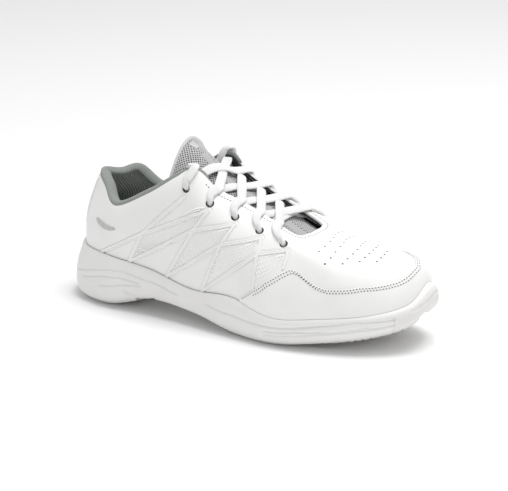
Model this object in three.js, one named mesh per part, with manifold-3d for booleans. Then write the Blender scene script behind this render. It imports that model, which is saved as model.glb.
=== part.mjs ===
// A right cheer shoe: rubber sole units, foam midsole, leather upper in separate panels with
// linings and stiffeners, padded collar, two-part tongue and one flat lace.
// Millimetres, +X from heel to toe, +Y to the inner side of the foot, +Z up, ground at z = 0.
//
// The upper is a surface addressed by (s, t). s counts 20 stations round the shoe from the toe
// tip along the outer side (1..9) to the heel (10) and back along the inner side (11..19).
// t runs from the sole lip (0) to the throat or collar edge (1). Layers are offsets along the
// surface normal, 0 being the outer face of the leather.
import * as THREE from 'three';
import Module from 'manifold-3d';

const STATIONS = 20;
const GAP = 0.3;                 // clearance between pieces that touch
const SHIFT_X = -2.1;            // centres the finished box on the origin
const LEATHER = 1.5;
const STIFFENER = 0.6;
const LINING = 0.6;
const EYELET_RADIUS = 3.2;
const PERFORATION_RADIUS = 0.9;
const LACE_WIDTH = 7;
const LACE_THICKNESS = 1.4;

// Plan outline of the sole, and the heights of its parts, station by station.
const OUTLINE_X = [142.2, 136, 114, 83, 48, 12, -24, -60, -96, -127, -140,
  -127, -96, -60, -24, 12, 48, 83, 113, 135];
const OUTLINE_Y = [8, -14, -33, -44.5, -49.8, -46, -39.5, -36, -36, -24, 0,
  24.5, 34, 33, 32, 38, 47.5, 49.7, 43.5, 28];
const GROUND_Z = [19, 14, 8.5, 3.5, 0, 0, 6.5, 8.5, 0, 0, 0.5, 0, 0, 8.5, 7, 0, 0, 3, 8, 13.5];
const EDGE_Z = [22, 16, 11, 6, 1.4, 1.2, 7.7, 9.7, 2.5, 2.5, 5, 2.5, 2.5, 9.2, 10, 4, 1.4, 5, 10, 16];
const LIP_Z = [46, 35, 29, 25, 21.5, 29, 26.5, 34, 38.5, 39, 40,
  39, 38, 36, 33, 29, 22, 25, 29, 36];
const FLOOR_Z = [27, 24, 21, 18, 15.5, 17, 19, 23, 27, 28, 28, 28, 27, 24, 20, 17, 15.5, 18, 21, 24];
const LIP_INSET = [3.5, 2.5, 1.5, 1, 1, 2, 2.5, 3, 4, 6, 7, 6, 4, 3, 3, 2, 1, 1, 1.5, 2.5];
const EDGE_INSET = [9, 9, 8, 7, 6, 7, 8, 8, 5, 3, 3, 3, 5, 8, 8, 6, 6, 7, 8, 9];
const WIDEST = [0.7, 0.7, 0.65, 0.6, 0.6, 0.5, 0.45, 0.4, 0.3, 0.28, 0.28,
  0.28, 0.3, 0.4, 0.45, 0.5, 0.6, 0.6, 0.65, 0.7];
// Throat and collar edge, and the handles of the curve that rises to it from the sole lip.
const TOP_X = [55.5, 55, 49, 29, 10, -9, -28, -61, -91, -109, -121,
  -114.5, -102.5, -77, -31, -11, 8, 28, 50, 55];
const TOP_Y = [1, -9, -16, -17.5, -19, -22, -26, -30, -27, -13, 0, 15, 26, 30, 27, 23, 20, 19, 17, 10];
const TOP_Z = [72.5, 72.5, 73, 82.5, 91, 98.5, 111, 92, 77.5, 86, 92,
  89.5, 91.5, 79.5, 111, 100, 92, 83, 73.5, 72.5];
const LOW_OUT = [0, 0, 0, 0, 1, 2, 2, 2, 2, 2, 2, 2, 2, 2, 2, 2, 1, 0, 0, 0];
const LOW_UP = [22, 20, 20, 24, 28, 30, 30, 26, 18, 22, 24, 22, 20, 26, 32, 32, 28, 24, 20, 20];
const HIGH_OUT = [50, 40, 30, 20, 17, 15, 14, 9, 7, 5, 5, 5, 7, 9, 14, 15, 17, 20, 30, 40];
const HIGH_UP = [-7, -6, -4, -6, -8, -9, -12, -16, -14, -16, -16, -16, -14, -16, -12, -9, -8, -6, -4, -6];

const wasm = await Module();
wasm.setup();

const colours = {
  leather: { color: 0xf3f4f3, roughness: 0.55, metalness: 0 },
  film: { color: 0xf6f7f6, roughness: 0.4, metalness: 0 },
  foam: { color: 0xe9eae8, roughness: 0.8, metalness: 0 },
  rubber: { color: 0xe4e2dc, roughness: 0.7, metalness: 0 },
  knit: { color: 0x9aa39f, roughness: 0.95, metalness: 0 },
  mesh: { color: 0xc3c6c5, roughness: 0.95, metalness: 0 },
  lace: { color: 0xfafafa, roughness: 0.9, metalness: 0 },
  board: { color: 0xcfc8b8, roughness: 0.9, metalness: 0 },
  shank: { color: 0x3a3d40, roughness: 0.5, metalness: 0 },
  mark: { color: 0xc9cbca, roughness: 0.5, metalness: 0 },
};

const shoe = new THREE.Group();
shoe.name = 'cheer_shoe';

function addPiece(name, geometry, look) {
  const mesh = new THREE.Mesh(geometry, new THREE.MeshStandardMaterial(colours[look]));
  mesh.name = name;
  shoe.add(mesh);
}

// ---- Curves and surfaces -------------------------------------------------------------------

function ring(values, s) {
  const n = values.length;
  const wrapped = ((s % n) + n) % n;
  const i = Math.floor(wrapped);
  const w = wrapped - i;
  const [a, b, c, d] = [-1, 0, 1, 2].map((k) => values[(i + k + n) % n]);
  return b + 0.5 * w * (c - a + w * (2 * a - 5 * b + 4 * c - d + w * (3 * (b - c) + d - a)));
}

function outline(s, inset) {
  const h = 0.001;
  const dx = ring(OUTLINE_X, s + h) - ring(OUTLINE_X, s - h);
  const dy = ring(OUTLINE_Y, s + h) - ring(OUTLINE_Y, s - h);
  const length = Math.hypot(dx, dy);
  const out = new THREE.Vector3(-dy / length, dx / length, 0);
  const x = ring(OUTLINE_X, s) + SHIFT_X - out.x * inset;
  return { x, y: ring(OUTLINE_Y, s) - out.y * inset, out };
}

function outlinePoint(s, inset, z) {
  const { x, y } = outline(s, inset);
  return new THREE.Vector3(x, y, z);
}

function upperPoint(s, t) {
  const { x, y, out } = outline(s, ring(LIP_INSET, s) + 1.5);
  const up = new THREE.Vector3(0, 0, 1);
  const foot = new THREE.Vector3(x, y, ring(LIP_Z, s) + GAP);
  const top = new THREE.Vector3(ring(TOP_X, s) + SHIFT_X, ring(TOP_Y, s), ring(TOP_Z, s));
  const low = foot.clone().addScaledVector(out, ring(LOW_OUT, s)).addScaledVector(up, ring(LOW_UP, s));
  const high = top.clone().addScaledVector(out, ring(HIGH_OUT, s)).addScaledVector(up, ring(HIGH_UP, s));
  return new THREE.CubicBezierCurve3(foot, low, high, top).getPoint(t);
}

function soleWallPoint(s, t) {
  const widest = ring(WIDEST, s);
  const low = ring(EDGE_INSET, s) * Math.max(0, 1 - t / widest) ** 2.5;
  const high = ring(LIP_INSET, s) * Math.max(0, (t - widest) / (1 - widest)) ** 2;
  const z = ring(EDGE_Z, s) + (ring(LIP_Z, s) - ring(EDGE_Z, s)) * t;
  return outlinePoint(s, low + high, z);
}

// A surface point moved along the outward normal.
function raised(surface, s, t, offset) {
  const h = 0.01;
  const t0 = Math.max(0, t - h);
  const t1 = Math.min(1, t + h);
  const along = surface(s + h, t).sub(surface(s - h, t));
  const upward = surface(s, t1).sub(surface(s, t0));
  const normal = upward.cross(along).normalize();
  return { point: surface(s, t).addScaledVector(normal, offset), normal };
}

const upperAt = (s, t, offset) => raised(upperPoint, s, t, offset).point;
const upperNormal = (s, t) => raised(upperPoint, s, t, 0).normal;
const soleWallAt = (s, t, offset) => raised(soleWallPoint, s, t, offset).point;

// ---- Closed solids -------------------------------------------------------------------------

function solid(points, faces) {
  const geometry = new THREE.BufferGeometry();
  geometry.setAttribute('position', new THREE.Float32BufferAttribute(points.flatMap((p) => p.toArray()), 3));
  geometry.setIndex(faces.flat());
  geometry.computeVertexNormals();
  return geometry;
}

// A sheet with thickness: outer(i, j) and inner(i, j) give the two faces of an nI by nJ grid.
function slab(nI, nJ, outer, inner) {
  const points = [];
  const faces = [];
  const id = (side, i, j) => (side * (nI + 1) + i) * (nJ + 1) + j;
  for (const face of [outer, inner]) {
    for (let i = 0; i <= nI; i += 1) {
      for (let j = 0; j <= nJ; j += 1) points.push(face(i / nI, j / nJ));
    }
  }
  const quad = (a, b, c, d) => faces.push([a, b, c], [a, c, d]);
  for (let i = 0; i < nI; i += 1) {
    for (let j = 0; j < nJ; j += 1) {
      quad(id(0, i, j), id(0, i, j + 1), id(0, i + 1, j + 1), id(0, i + 1, j));
      quad(id(1, i, j), id(1, i + 1, j), id(1, i + 1, j + 1), id(1, i, j + 1));
    }
    quad(id(0, i, 0), id(0, i + 1, 0), id(1, i + 1, 0), id(1, i, 0));
    quad(id(0, i, nJ), id(1, i, nJ), id(1, i + 1, nJ), id(0, i + 1, nJ));
  }
  for (let j = 0; j < nJ; j += 1) {
    quad(id(0, 0, j), id(1, 0, j), id(1, 0, j + 1), id(0, 0, j + 1));
    quad(id(0, nI, j), id(0, nI, j + 1), id(1, nI, j + 1), id(1, nI, j));
  }
  return solid(points, faces);
}

// A patch of the upper. The limits of t and the offsets may depend on s and t.
function upperPatch({ s0, s1, low = () => 0, high = () => 1, outer, inner, nS, nT }) {
  const depth = (value, s, t) => (typeof value === 'function' ? value(s, t) : value);
  const face = (value) => (u, v) => {
    const s = s0 + (s1 - s0) * u;
    const t = low(s) + (high(s) - low(s)) * v;
    return upperAt(s, t, depth(value, s, t));
  };
  return slab(nS, nT, face(outer), face(inner));
}

// A stack of level loops, closed at both ends by strips that join the two sides of the shoe.
function stack(loops) {
  const m = loops[0].length;
  const points = loops.flat();
  const faces = [];
  // Split along the shorter diagonal, so that neighbouring layers are faceted alike.
  const quad = (a, b, c, d) => {
    const straight = points[a].distanceTo(points[c]) <= points[b].distanceTo(points[d]);
    if (straight) faces.push([a, b, c], [a, c, d]);
    else faces.push([a, b, d], [b, c, d]);
  };
  for (let k = 0; k + 1 < loops.length; k += 1) {
    for (let i = 0; i < m; i += 1) {
      const j = (i + 1) % m;
      quad(k * m + i, (k + 1) * m + i, (k + 1) * m + j, k * m + j);
    }
  }
  const last = (loops.length - 1) * m;
  for (let i = 0; i < m / 2 - 1; i += 1) {
    quad(i, i + 1, m - i - 2, m - i - 1);
    quad(last + i, last + m - i - 1, last + m - i - 2, last + i + 1);
  }
  return solid(points, faces);
}

// Stations of a loop: down the outer side from step a to step b, then back up the inner side.
// Every layer of the sole uses the same steps, so that their faces stay parallel.
const SOLE_STEPS = 32;
const SOLE_START = 0.2;
const SOLE_STEP = (STATIONS / 2 - 2 * SOLE_START) / SOLE_STEPS;

function loopStations(a = 0, b = SOLE_STEPS) {
  const outer = Array.from({ length: b - a + 1 }, (_, i) => SOLE_START + (a + i) * SOLE_STEP);
  return [...outer, ...outer.map((s) => STATIONS - s).reverse()];
}

const level = (stations, inset, height) => stations.map((s) => outlinePoint(s, inset(s), height(s)));

// ---- Booleans ------------------------------------------------------------------------------

function toManifold(geometry) {
  const key = (x) => Math.round(x * 1e4);
  const source = geometry.index ? geometry.toNonIndexed() : geometry;
  const position = source.getAttribute('position');
  const seen = new Map();
  const vertices = [];
  const triangles = [];
  for (let i = 0; i < position.count; i += 1) {
    const xyz = [position.getX(i), position.getY(i), position.getZ(i)];
    const name = xyz.map(key).join();
    if (!seen.has(name)) {
      seen.set(name, vertices.length / 3);
      vertices.push(...xyz);
    }
    triangles.push(seen.get(name));
  }
  const clean = [];
  for (let i = 0; i < triangles.length; i += 3) {
    const [a, b, c] = triangles.slice(i, i + 3);
    if (a !== b && b !== c && a !== c) clean.push(a, b, c);
  }
  return new wasm.Manifold(new wasm.Mesh({
    numProp: 3,
    vertProperties: new Float32Array(vertices),
    triVerts: new Uint32Array(clean),
  }));
}

function fromManifold(body) {
  const mesh = body.getMesh();
  const geometry = new THREE.BufferGeometry();
  geometry.setAttribute('position', new THREE.BufferAttribute(new Float32Array(mesh.vertProperties), 3));
  geometry.setIndex([...mesh.triVerts]);
  geometry.computeVertexNormals();
  return geometry;
}

function cut(geometry, tools) {
  let body = toManifold(geometry);
  for (const tool of tools) body = body.subtract(toManifold(tool));
  return fromManifold(body);
}

function join(geometries) {
  let body = toManifold(geometries[0]);
  for (const geometry of geometries.slice(1)) body = body.add(toManifold(geometry));
  return fromManifold(body);
}

// A round punch through the upper, along its normal.
function punch(s, t, radius, reach, sides) {
  const geometry = new THREE.CylinderGeometry(radius, radius, reach, sides);
  geometry.deleteAttribute('normal');
  geometry.deleteAttribute('uv');
  const { point, normal } = raised(upperPoint, s, t, 0);
  const turn = new THREE.Quaternion().setFromUnitVectors(new THREE.Vector3(0, 1, 0), normal);
  return geometry.applyQuaternion(turn).translate(point.x, point.y, point.z);
}

// ---- Sole ----------------------------------------------------------------------------------

const groundZ = (s) => Math.max(0, ring(GROUND_Z, s));
const OUTSOLE_INSET = 13;

function outsole(firstStep, lastStep, archStep) {
  const stations = loopStations(firstStep, lastStep);
  const arch = SOLE_START + archStep * SOLE_STEP;
  const edge = (s) => ring(EDGE_INSET, s) + 1;
  const top = (s) => groundZ(s) + 2.6;
  const isArchEnd = (s) => Math.abs(Math.min(s, STATIONS - s) - arch) < SOLE_STEP / 2;
  return stack([
    level(stations, () => OUTSOLE_INSET, groundZ),
    level(stations, edge, (s) => ring(EDGE_Z, s)),
    level(stations, edge, (s) => (isArchEnd(s) ? top(s) : ring(EDGE_Z, s) + 1.9)),
    level(stations, () => OUTSOLE_INSET, top),
  ]);
}

// The shank lies in a slot under the arch, tilted to follow the footbed.
const SHANK_LENGTH = 70;
const SHANK_TILT = new THREE.Matrix4().makeTranslation(-50, 0, 20.5)
  .multiply(new THREE.Matrix4().makeRotationY(0.104))
  .multiply(new THREE.Matrix4().makeTranslation(50, 0, -20.5));

function midsole() {
  const stations = loopStations();
  const wall = (t) => stations.map((s) => soleWallPoint(s, t));
  const base = 3.4;
  const rim = (s) => ring(LIP_INSET, s) + 6.5;
  const body = stack([
    level(stations, () => OUTSOLE_INSET, (s) => groundZ(s) + base),
    level(stations, (s) => ring(EDGE_INSET, s) + 0.6, (s) => ring(EDGE_Z, s) + 2.6),
    wall(0.22), wall(0.45), wall(0.7), wall(1),
    level(stations, rim, (s) => ring(LIP_Z, s)),
    level(stations, (s) => rim(s) + 0.3, (s) => ring(FLOOR_Z, s)),
  ]);
  const slot = new THREE.BoxGeometry(SHANK_LENGTH + 2 * GAP, 16 + 2 * GAP, 10).translate(-50, -1, 24.2);
  slot.deleteAttribute('normal');
  slot.deleteAttribute('uv');
  return cut(body, [slot.applyMatrix4(SHANK_TILT)]);
}

function footPlate(inset, low, high) {
  const stations = loopStations();
  const distance = (s) => ring(LIP_INSET, s) + inset;
  return stack([
    level(stations, distance, (s) => ring(FLOOR_Z, s) + low),
    level(stations, distance, (s) => ring(FLOOR_Z, s) + high),
  ]);
}

addPiece('outsole_forefoot', outsole(0, 17, 17), 'rubber');
addPiece('outsole_heel', outsole(24, SOLE_STEPS, 24), 'rubber');
addPiece('midsole', midsole(), 'foam');
addPiece('insole_board', footPlate(7.6, GAP, 1.8), 'board');
addPiece('sockliner', footPlate(10, 2.1, 6.1), 'mesh');

const shank = new THREE.BoxGeometry(SHANK_LENGTH, 16, 2).translate(-50, -1, 20.5).applyMatrix4(SHANK_TILT);
addPiece('shank', shank, 'shank');

const bumperFace = (offset) => (u, v) => soleWallAt(-1.9 + 3.3 * u, 0.12 + 0.8 * v, offset);
const bumper = slab(16, 4, bumperFace(1.4), bumperFace(0.6));
addPiece('toe_bumper', bumper, 'rubber');

// ---- Upper ---------------------------------------------------------------------------------

const smooth = THREE.MathUtils.smoothstep;
const COLLAR_START = 6.25;       // station where the throat edge turns into the collar
const COLLAR_END = STATIONS - COLLAR_START;
const mirror = (s) => STATIONS - s;

// How far a station is into the collar: 0 in the throat, 1 well inside the collar.
function collarShare(s) {
  return smooth(s, 6.05, 6.35) * (1 - smooth(s, mirror(6.35), mirror(6.05)));
}

// Steps of t shared by the layers of the upper, so that their faces stay parallel.
const GRID_T = 8;

const panelTop = (s) => 1 - 0.06 * collarShare(s);

// Padding swells behind the collar and is thickest round the heel.
function padding(s, t) {
  const round = smooth(s, 6.3, 7.6) * (1 - smooth(s, mirror(7.6), mirror(6.3)));
  return 4.2 * round * smooth(t, 0.3, 0.75);
}

// The side seams of the vamp lean forwards as they rise.
const seam = (t) => 2.1 + 1.2 * (1 - t);

function quarter(side) {
  const station = (s) => (side < 0 ? s : mirror(s));
  const face = (offset) => (u, v) => {
    const front = seam(v) + 0.03;
    const w = side < 0 ? u : 1 - u;
    const s = front + (9.97 - front) * w;
    return upperAt(station(s), v * panelTop(station(s)), offset);
  };
  return slab(26, GRID_T, face(0), face(-LEATHER));
}

const EYELETS = [[6.01, 0.77], [5.15, 0.76], [4.26, 0.76], [3.5, 0.73], [2.81, 0.69]];

function eyeletPunches(side) {
  const station = (s) => (side < 0 ? s : mirror(s));
  return EYELETS.map(([s, t]) => punch(station(s), t, EYELET_RADIUS, 12, 10));
}

function frontPatch(outer, inner, nS) {
  const face = (offset) => (u, v) => {
    const edge = seam(v) - 0.03;
    return upperAt(-edge + 2 * edge * u, v, offset);
  };
  return slab(nS, GRID_T, face(outer), face(inner));
}

// Rows of small holes cross the vamp from low on the outer side to high on the inner side.
// Each row: its start, its middle and its end on the upper, and how many holes.
const PERFORATIONS = [
  { row: [[1.53, 0.76], [0.24, 0.89], [-0.73, 0.88]], count: 7 },
  { row: [[1.93, 0.59], [0.51, 0.8], [-0.34, 0.81]], count: 8 },
  { row: [[1.4, 0.59], [0.5, 0.7], [-0.13, 0.73]], count: 7 },
  { row: [[0.94, 0.58], [0.38, 0.625], [-0.07, 0.64]], count: 6 },
  { row: [[0.67, 0.52], [0.4, 0.535], [0.14, 0.55]], count: 4 },
];

// A place on the smooth line through three places, with w from 0 to 1.
function through([from, via, to], w) {
  return [0, 1].map((k) => (
    2 * (w - 0.5) * (w - 1) * from[k] + 4 * w * (1 - w) * via[k] + 2 * w * (w - 0.5) * to[k]));
}

function perforationPunches() {
  return PERFORATIONS.flatMap(({ row, count }) => Array.from({ length: count }, (_, i) => {
    const [s, t] = through(row, i / (count - 1));
    return punch(s, t, PERFORATION_RADIUS, 4, 5);
  }));
}

addPiece('vamp', cut(frontPatch(0, -LEATHER, 22), perforationPunches()), 'leather');
addPiece('quarter_lateral', cut(quarter(-1), eyeletPunches(-1)), 'leather');
addPiece('quarter_medial', cut(quarter(1), eyeletPunches(1)), 'leather');

// Upper edge of the mudguard: low at the sides, a peak on each flank and a V over the toe.
const GUARD = [[-4.76, 0.02], [-4.38, 0.16], [-3.97, 0.28], [-3.57, 0.36], [-3.2, 0.42], [-3, 0.4],
  [-2.8, 0.33], [-2.5, 0.31], [-2, 0.35], [-1.4, 0.43], [-0.8, 0.48], [-0.4, 0.42], [-0.1, 0.33],
  [0.2, 0.25], [0.6, 0.255], [1.1, 0.28], [1.84, 0.31], [2.34, 0.29], [2.66, 0.28], [2.87, 0.31],
  [3.08, 0.41], [3.21, 0.42], [3.57, 0.36], [3.97, 0.28], [4.38, 0.16], [4.76, 0.02]];

function guardTop(s) {
  const k = Math.max(1, GUARD.findIndex(([station]) => station >= s));
  const [[s0, t0], [s1, t1]] = [GUARD[k - 1], GUARD[k]];
  return t0 + ((t1 - t0) * (s - s0)) / (s1 - s0);
}

addPiece('mudguard', upperPatch({
  s0: -4.75, s1: 4.75, high: guardTop, outer: 1.2, inner: 0.45, nS: 42, nT: 4,
}), 'leather');
addPiece('heel_tab', upperPatch({
  s0: 9.62, s1: 10.38, high: () => 0.93, outer: 1.1, inner: GAP, nS: 4, nT: 8,
}), 'leather');

// Welded film strips run from the eyelets to the sole and cross each other on the way.
// Each strip: the number of its eyelet, the crossing on its way, and the place where it ends.
const STRIPS = [
  [0, [7.13, 0.4], [7.43, 0.05]],
  [1, [7.13, 0.4], [8.1, 0.05]], [1, [5.8, 0.45], [6.57, 0.05]],
  [2, [5.8, 0.45], [7.43, 0.05]], [2, [5.01, 0.41], [5.7, 0.05]],
  [3, [5.01, 0.41], [6.57, 0.05]], [3, [3.91, 0.49], [4.38, 0.2]],
  [4, [3.91, 0.49], [5.7, 0.05]], [4, [3.15, 0.5], [3.36, 0.43]],
];
const STRIP_WIDTH = 2.6;
const BELOW_EYELET = [0.04, 0.085];  // the strips of an eyelet start here, below its rim

// A place on the way between two places on the upper that is straight when seen from the side.
function straight(side, [s0, t0], [s1, t1], w) {
  const place = (s, t) => upperAt(side < 0 ? s : mirror(s), t, 0);
  const [a, b] = [place(s0, t0), place(s1, t1)];
  const s = s0 + (s1 - s0) * w;
  const off = (t) => {
    const p = place(s, t);
    return (p.z - a.z) * (b.x - a.x) - (p.x - a.x) * (b.z - a.z);
  };
  let t = t0 + (t1 - t0) * w;
  for (let k = 0; k < 5; k += 1) t -= (off(t) * 0.02) / (off(t + 0.01) - off(t - 0.01));
  return [s, t];
}

function strip(eyelet, via, to, side) {
  const station = (s) => (side < 0 ? s : mirror(s));
  const from = [eyelet[0] + BELOW_EYELET[0], eyelet[1] - BELOW_EYELET[1]];
  const place = (u) => (u < 0.5 ? straight(side, from, via, 2 * u) : straight(side, via, to, 2 * u - 1));
  const pointAt = (u, offset) => upperAt(station(place(u)[0]), place(u)[1], offset);
  const face = (offset) => (u, v) => {
    const [s, t] = place(u);
    const direction = pointAt(u + 0.01, 0).sub(pointAt(u - 0.01, 0)).normalize();
    const across = direction.cross(upperNormal(station(s), t)).normalize();
    return pointAt(u, offset).addScaledVector(across, (v - 0.5) * STRIP_WIDTH);
  };
  return slab(8, 1, face(1), face(0.55));
}

function cage(side) {
  return join(STRIPS.map(([k, via, to]) => strip(EYELETS[k], via, to, side)));
}

addPiece('cage_lateral', cage(-1), 'film');
addPiece('cage_medial', cage(1), 'film');

// Plain oval marks on the heel quarters.
function heelMark(side) {
  const station = (s) => (side < 0 ? s : mirror(s));
  const face = (offset) => (u, v) => {
    const w = side < 0 ? u : 1 - u;
    const half = 0.07 * Math.sqrt(Math.max(0.15, 1 - (2 * w - 1) ** 4));
    return upperAt(station(7.75 + 0.95 * w), 0.5 + half * (2 * v - 1), offset);
  };
  return slab(8, 2, face(GAP + 0.4), face(GAP));
}

addPiece('heel_mark_lateral', heelMark(-1), 'mark');
addPiece('heel_mark_medial', heelMark(1), 'mark');

// ---- Stiffeners and linings ----------------------------------------------------------------

const UNDER_LEATHER = -(LEATHER + GAP);
const UNDER_STIFFENER = UNDER_LEATHER - STIFFENER - GAP;

addPiece('heel_counter', upperPatch({
  s0: 8.2, s1: 11.8, low: () => 0.02, high: () => 0.5,
  outer: UNDER_LEATHER, inner: UNDER_LEATHER - STIFFENER, nS: 14, nT: 4,
}), 'board');
addPiece('toe_puff', upperPatch({
  s0: -1.7, s1: 1.7, low: () => 0.02, high: () => 0.3,
  outer: UNDER_LEATHER - 0.2, inner: UNDER_LEATHER - STIFFENER, nS: 12, nT: 3,
}), 'board');

function eyeStay(side) {
  const station = (s) => (side < 0 ? s : mirror(s));
  const face = (offset) => (u, v) => {
    const w = side < 0 ? u : 1 - u;
    return upperAt(station(2.35 + 3.75 * w), (5 + 2 * v) / GRID_T, offset);
  };
  return cut(slab(14, 2, face(UNDER_LEATHER - 0.2), face(UNDER_LEATHER - STIFFENER)), eyeletPunches(side));
}

addPiece('eyestay_lateral', eyeStay(-1), 'board');
addPiece('eyestay_medial', eyeStay(1), 'board');

addPiece('vamp_lining', frontPatch(UNDER_STIFFENER, UNDER_STIFFENER - LINING, 22), 'mesh');

function quarterLining(side) {
  const station = (s) => (side < 0 ? s : mirror(s));
  const face = (offset) => (u, v) => {
    const front = seam(v) + 0.03;
    const w = side < 0 ? u : 1 - u;
    return upperAt(station(front + (6.2 - front) * w), v, offset);
  };
  const sheet = slab(14, GRID_T, face(UNDER_STIFFENER), face(UNDER_STIFFENER - LINING));
  return cut(sheet, eyeletPunches(side));
}

addPiece('quarter_lining_lateral', quarterLining(-1), 'mesh');
addPiece('quarter_lining_medial', quarterLining(1), 'mesh');

// The padding fills the space between the stiffeners and the collar lining.
addPiece('collar_padding', upperPatch({
  s0: 6.9, s1: mirror(6.9), low: () => 0.52, high: (s) => panelTop(s) - 0.02,
  outer: UNDER_STIFFENER + STIFFENER + GAP,
  inner: (s, t) => UNDER_STIFFENER - padding(s, t),
  nS: 56, nT: 3,
}), 'foam');
addPiece('collar_lining', upperPatch({
  s0: 6.23, s1: mirror(6.23), high: (s) => panelTop(s) - 0.006,
  outer: (s, t) => UNDER_STIFFENER - GAP - padding(s, t),
  inner: (s, t) => UNDER_STIFFENER - GAP - LINING - padding(s, t),
  nS: 60, nT: 6,
}), 'knit');

// The knit rolls over the top of the collar and closes the panel, padding and lining edges.
addPiece('collar_edge', upperPatch({
  s0: COLLAR_START, s1: COLLAR_END, low: (s) => panelTop(s) + 0.024,
  outer: 0, inner: (s) => UNDER_STIFFENER - GAP - LINING - padding(s, 0.95), nS: 60, nT: 1,
}), 'knit');

// ---- Tongue --------------------------------------------------------------------------------

// Crest of the tongue from under the vamp to its free end: x, z, half width, drop towards the
// sides, and tilt towards the outer side.
const TONGUE_X = [74, 60, 46, 30, 10, -10, -24, -36, -50];
const TONGUE_Z = [63.5, 66.3, 69, 77.3, 87.8, 97.2, 107.5, 116.8, 123];
const TONGUE_HALF = [13, 16, 19, 21, 23, 24, 23, 21.5, 25];
const TONGUE_DROP = [0.012, 0.012, 0.014, 0.014, 0.015, 0.017, 0.026, 0.035, 0.027];
const TONGUE_TILT = [0, 0, 0, 0, 0, 0, 0, 0.02, 0.4];

function along(values, u) {
  const curve = new THREE.SplineCurve(values.map((v, i) => new THREE.Vector2(i, v)));
  return curve.getPoint(u).y;
}

function tonguePoint(u, v) {
  const y = along(TONGUE_HALF, u) * (2 * v - 1);
  const z = along(TONGUE_Z, u) + along(TONGUE_TILT, u) * y - along(TONGUE_DROP, u) * y * y;
  return new THREE.Vector3(along(TONGUE_X, u) + SHIFT_X, y, z);
}

function tongueAt(u, v, offset) {
  const h = 0.01;
  const du = tonguePoint(Math.min(1, u + h), v).sub(tonguePoint(Math.max(0, u - h), v));
  const dv = tonguePoint(u, v + h).sub(tonguePoint(u, v - h));
  return tonguePoint(u, v).addScaledVector(dv.cross(du).normalize(), offset);
}

function tongueLayer(u0, u1, nU, outer, inner) {
  const face = (offset) => (a, b) => tongueAt(u0 + (u1 - u0) * a, b, offset);
  return slab(nU, 6, face(outer), face(inner));
}

const TONGUE_SPLIT = 0.82;
const TONGUE_PLAY = 0.01;
const lower = [0, TONGUE_SPLIT - TONGUE_PLAY, 12];
const upperEnd = [TONGUE_SPLIT + TONGUE_PLAY, 1, 4];
addPiece('tongue_lower_face', tongueLayer(...lower, 0, -1.1), 'mesh');
addPiece('tongue_lower_lining', tongueLayer(...lower, -1.4, -2.4), 'knit');
addPiece('tongue_upper_face', tongueLayer(...upperEnd, 0, -1.1), 'mesh');
addPiece('tongue_upper_padding', tongueLayer(...upperEnd, -1.4, -4.4), 'foam');
addPiece('tongue_upper_lining', tongueLayer(...upperEnd, -4.7, -5.5), 'knit');

// A small plain tab stitched near the top of the tongue.
const tabFace = (offset) => (a, b) => tongueAt(0.86 + 0.07 * a, 0.44 + 0.12 * b, offset);
addPiece('tongue_tab', slab(2, 2, tabFace(1.3), tabFace(GAP)), 'film');

// ---- Lace ----------------------------------------------------------------------------------

const OVER = 1.5;                // lace centre above the leather
const UNDER = UNDER_STIFFENER - LINING - GAP - LACE_THICKNESS / 2 - 0.7;
const TONGUE_CLEAR = 0.6 + LACE_THICKNESS / 2;

// Point on the upper at eyelet number k, moved by a share of the way to the throat edge.
function flapPoint(side, k, share, shift, offset) {
  const [s, t] = EYELETS[k];
  const at = side < 0 ? s + shift : mirror(s + shift);
  return upperAt(at, t + (1 - t) * share, offset);
}

// The lace lies flat: its width follows the panel's edge, always towards the toe.
function flapStop(side, k, share, shift, offset, width = LACE_WIDTH) {
  const h = 0.05;
  const point = flapPoint(side, k, share, shift, offset);
  const ahead = flapPoint(side, k, share, shift - h, offset);
  const behind = flapPoint(side, k, share, shift + h, offset);
  return { point, across: ahead.sub(behind).normalize(), width };
}

const route = [];
const lay = (stops, forwards) => route.push(...(forwards ? stops : stops.reverse()));

function throughEyelet(side, k, inwards) {
  lay([
    flapStop(side, k, 0.32, 0, OVER + 0.1, 5.4),
    flapStop(side, k, 0.06, 0, 1, 4),
    flapStop(side, k, -0.04, 0, -1.6, 3.6),
    flapStop(side, k, 0.06, 0, UNDER - 0.3, 3.4),
    flapStop(side, k, 0.32, 0, UNDER - 0.5, 4.4),
  ], inwards);
}

// Lace from the top of eyelet k on one side, over the tongue, under the opposite flap above it.
function crossing(side, k, lift, upwards) {
  const start = flapStop(side, k, 1, -0.15, OVER + 0.3);
  const end = flapStop(-side, k - 1, 1, -0.12, UNDER - 1.2);
  lay([
    flapStop(side, k, 0.65, -0.06, OVER + 0.2),
    start,
    ...overTongue(start.point, end.point, lift),
    end,
    flapStop(-side, k - 1, 0.65, -0.05, UNDER - 0.5),
  ], upwards);
}

function tongueHeight(x, y) {
  let low = 0;
  let high = 1;
  for (let i = 0; i < 30; i += 1) {
    const u = (low + high) / 2;
    if (along(TONGUE_X, u) + SHIFT_X > x) low = u;
    else high = u;
  }
  return along(TONGUE_Z, low) + along(TONGUE_TILT, low) * y - along(TONGUE_DROP, low) * y * y;
}

// Stops between the two flaps, resting on the tongue and lifted where two laces cross.
function overTongue(start, end, lift) {
  return [0.1, 0.3, 0.5, 0.7, 0.9].map((w) => {
    const point = start.clone().lerp(end, w);
    const slope = (tongueHeight(point.x + 1, point.y) - tongueHeight(point.x - 1, point.y)) / 2;
    const clear = TONGUE_CLEAR + lift * (1 - (2 * w - 1) ** 4);
    const rest = tongueHeight(point.x, point.y) + clear * Math.hypot(1, slope);
    point.z = Math.max(point.z, rest);
    return { point, across: new THREE.Vector3(1, 0, slope).normalize(), width: LACE_WIDTH };
  });
}

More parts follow.
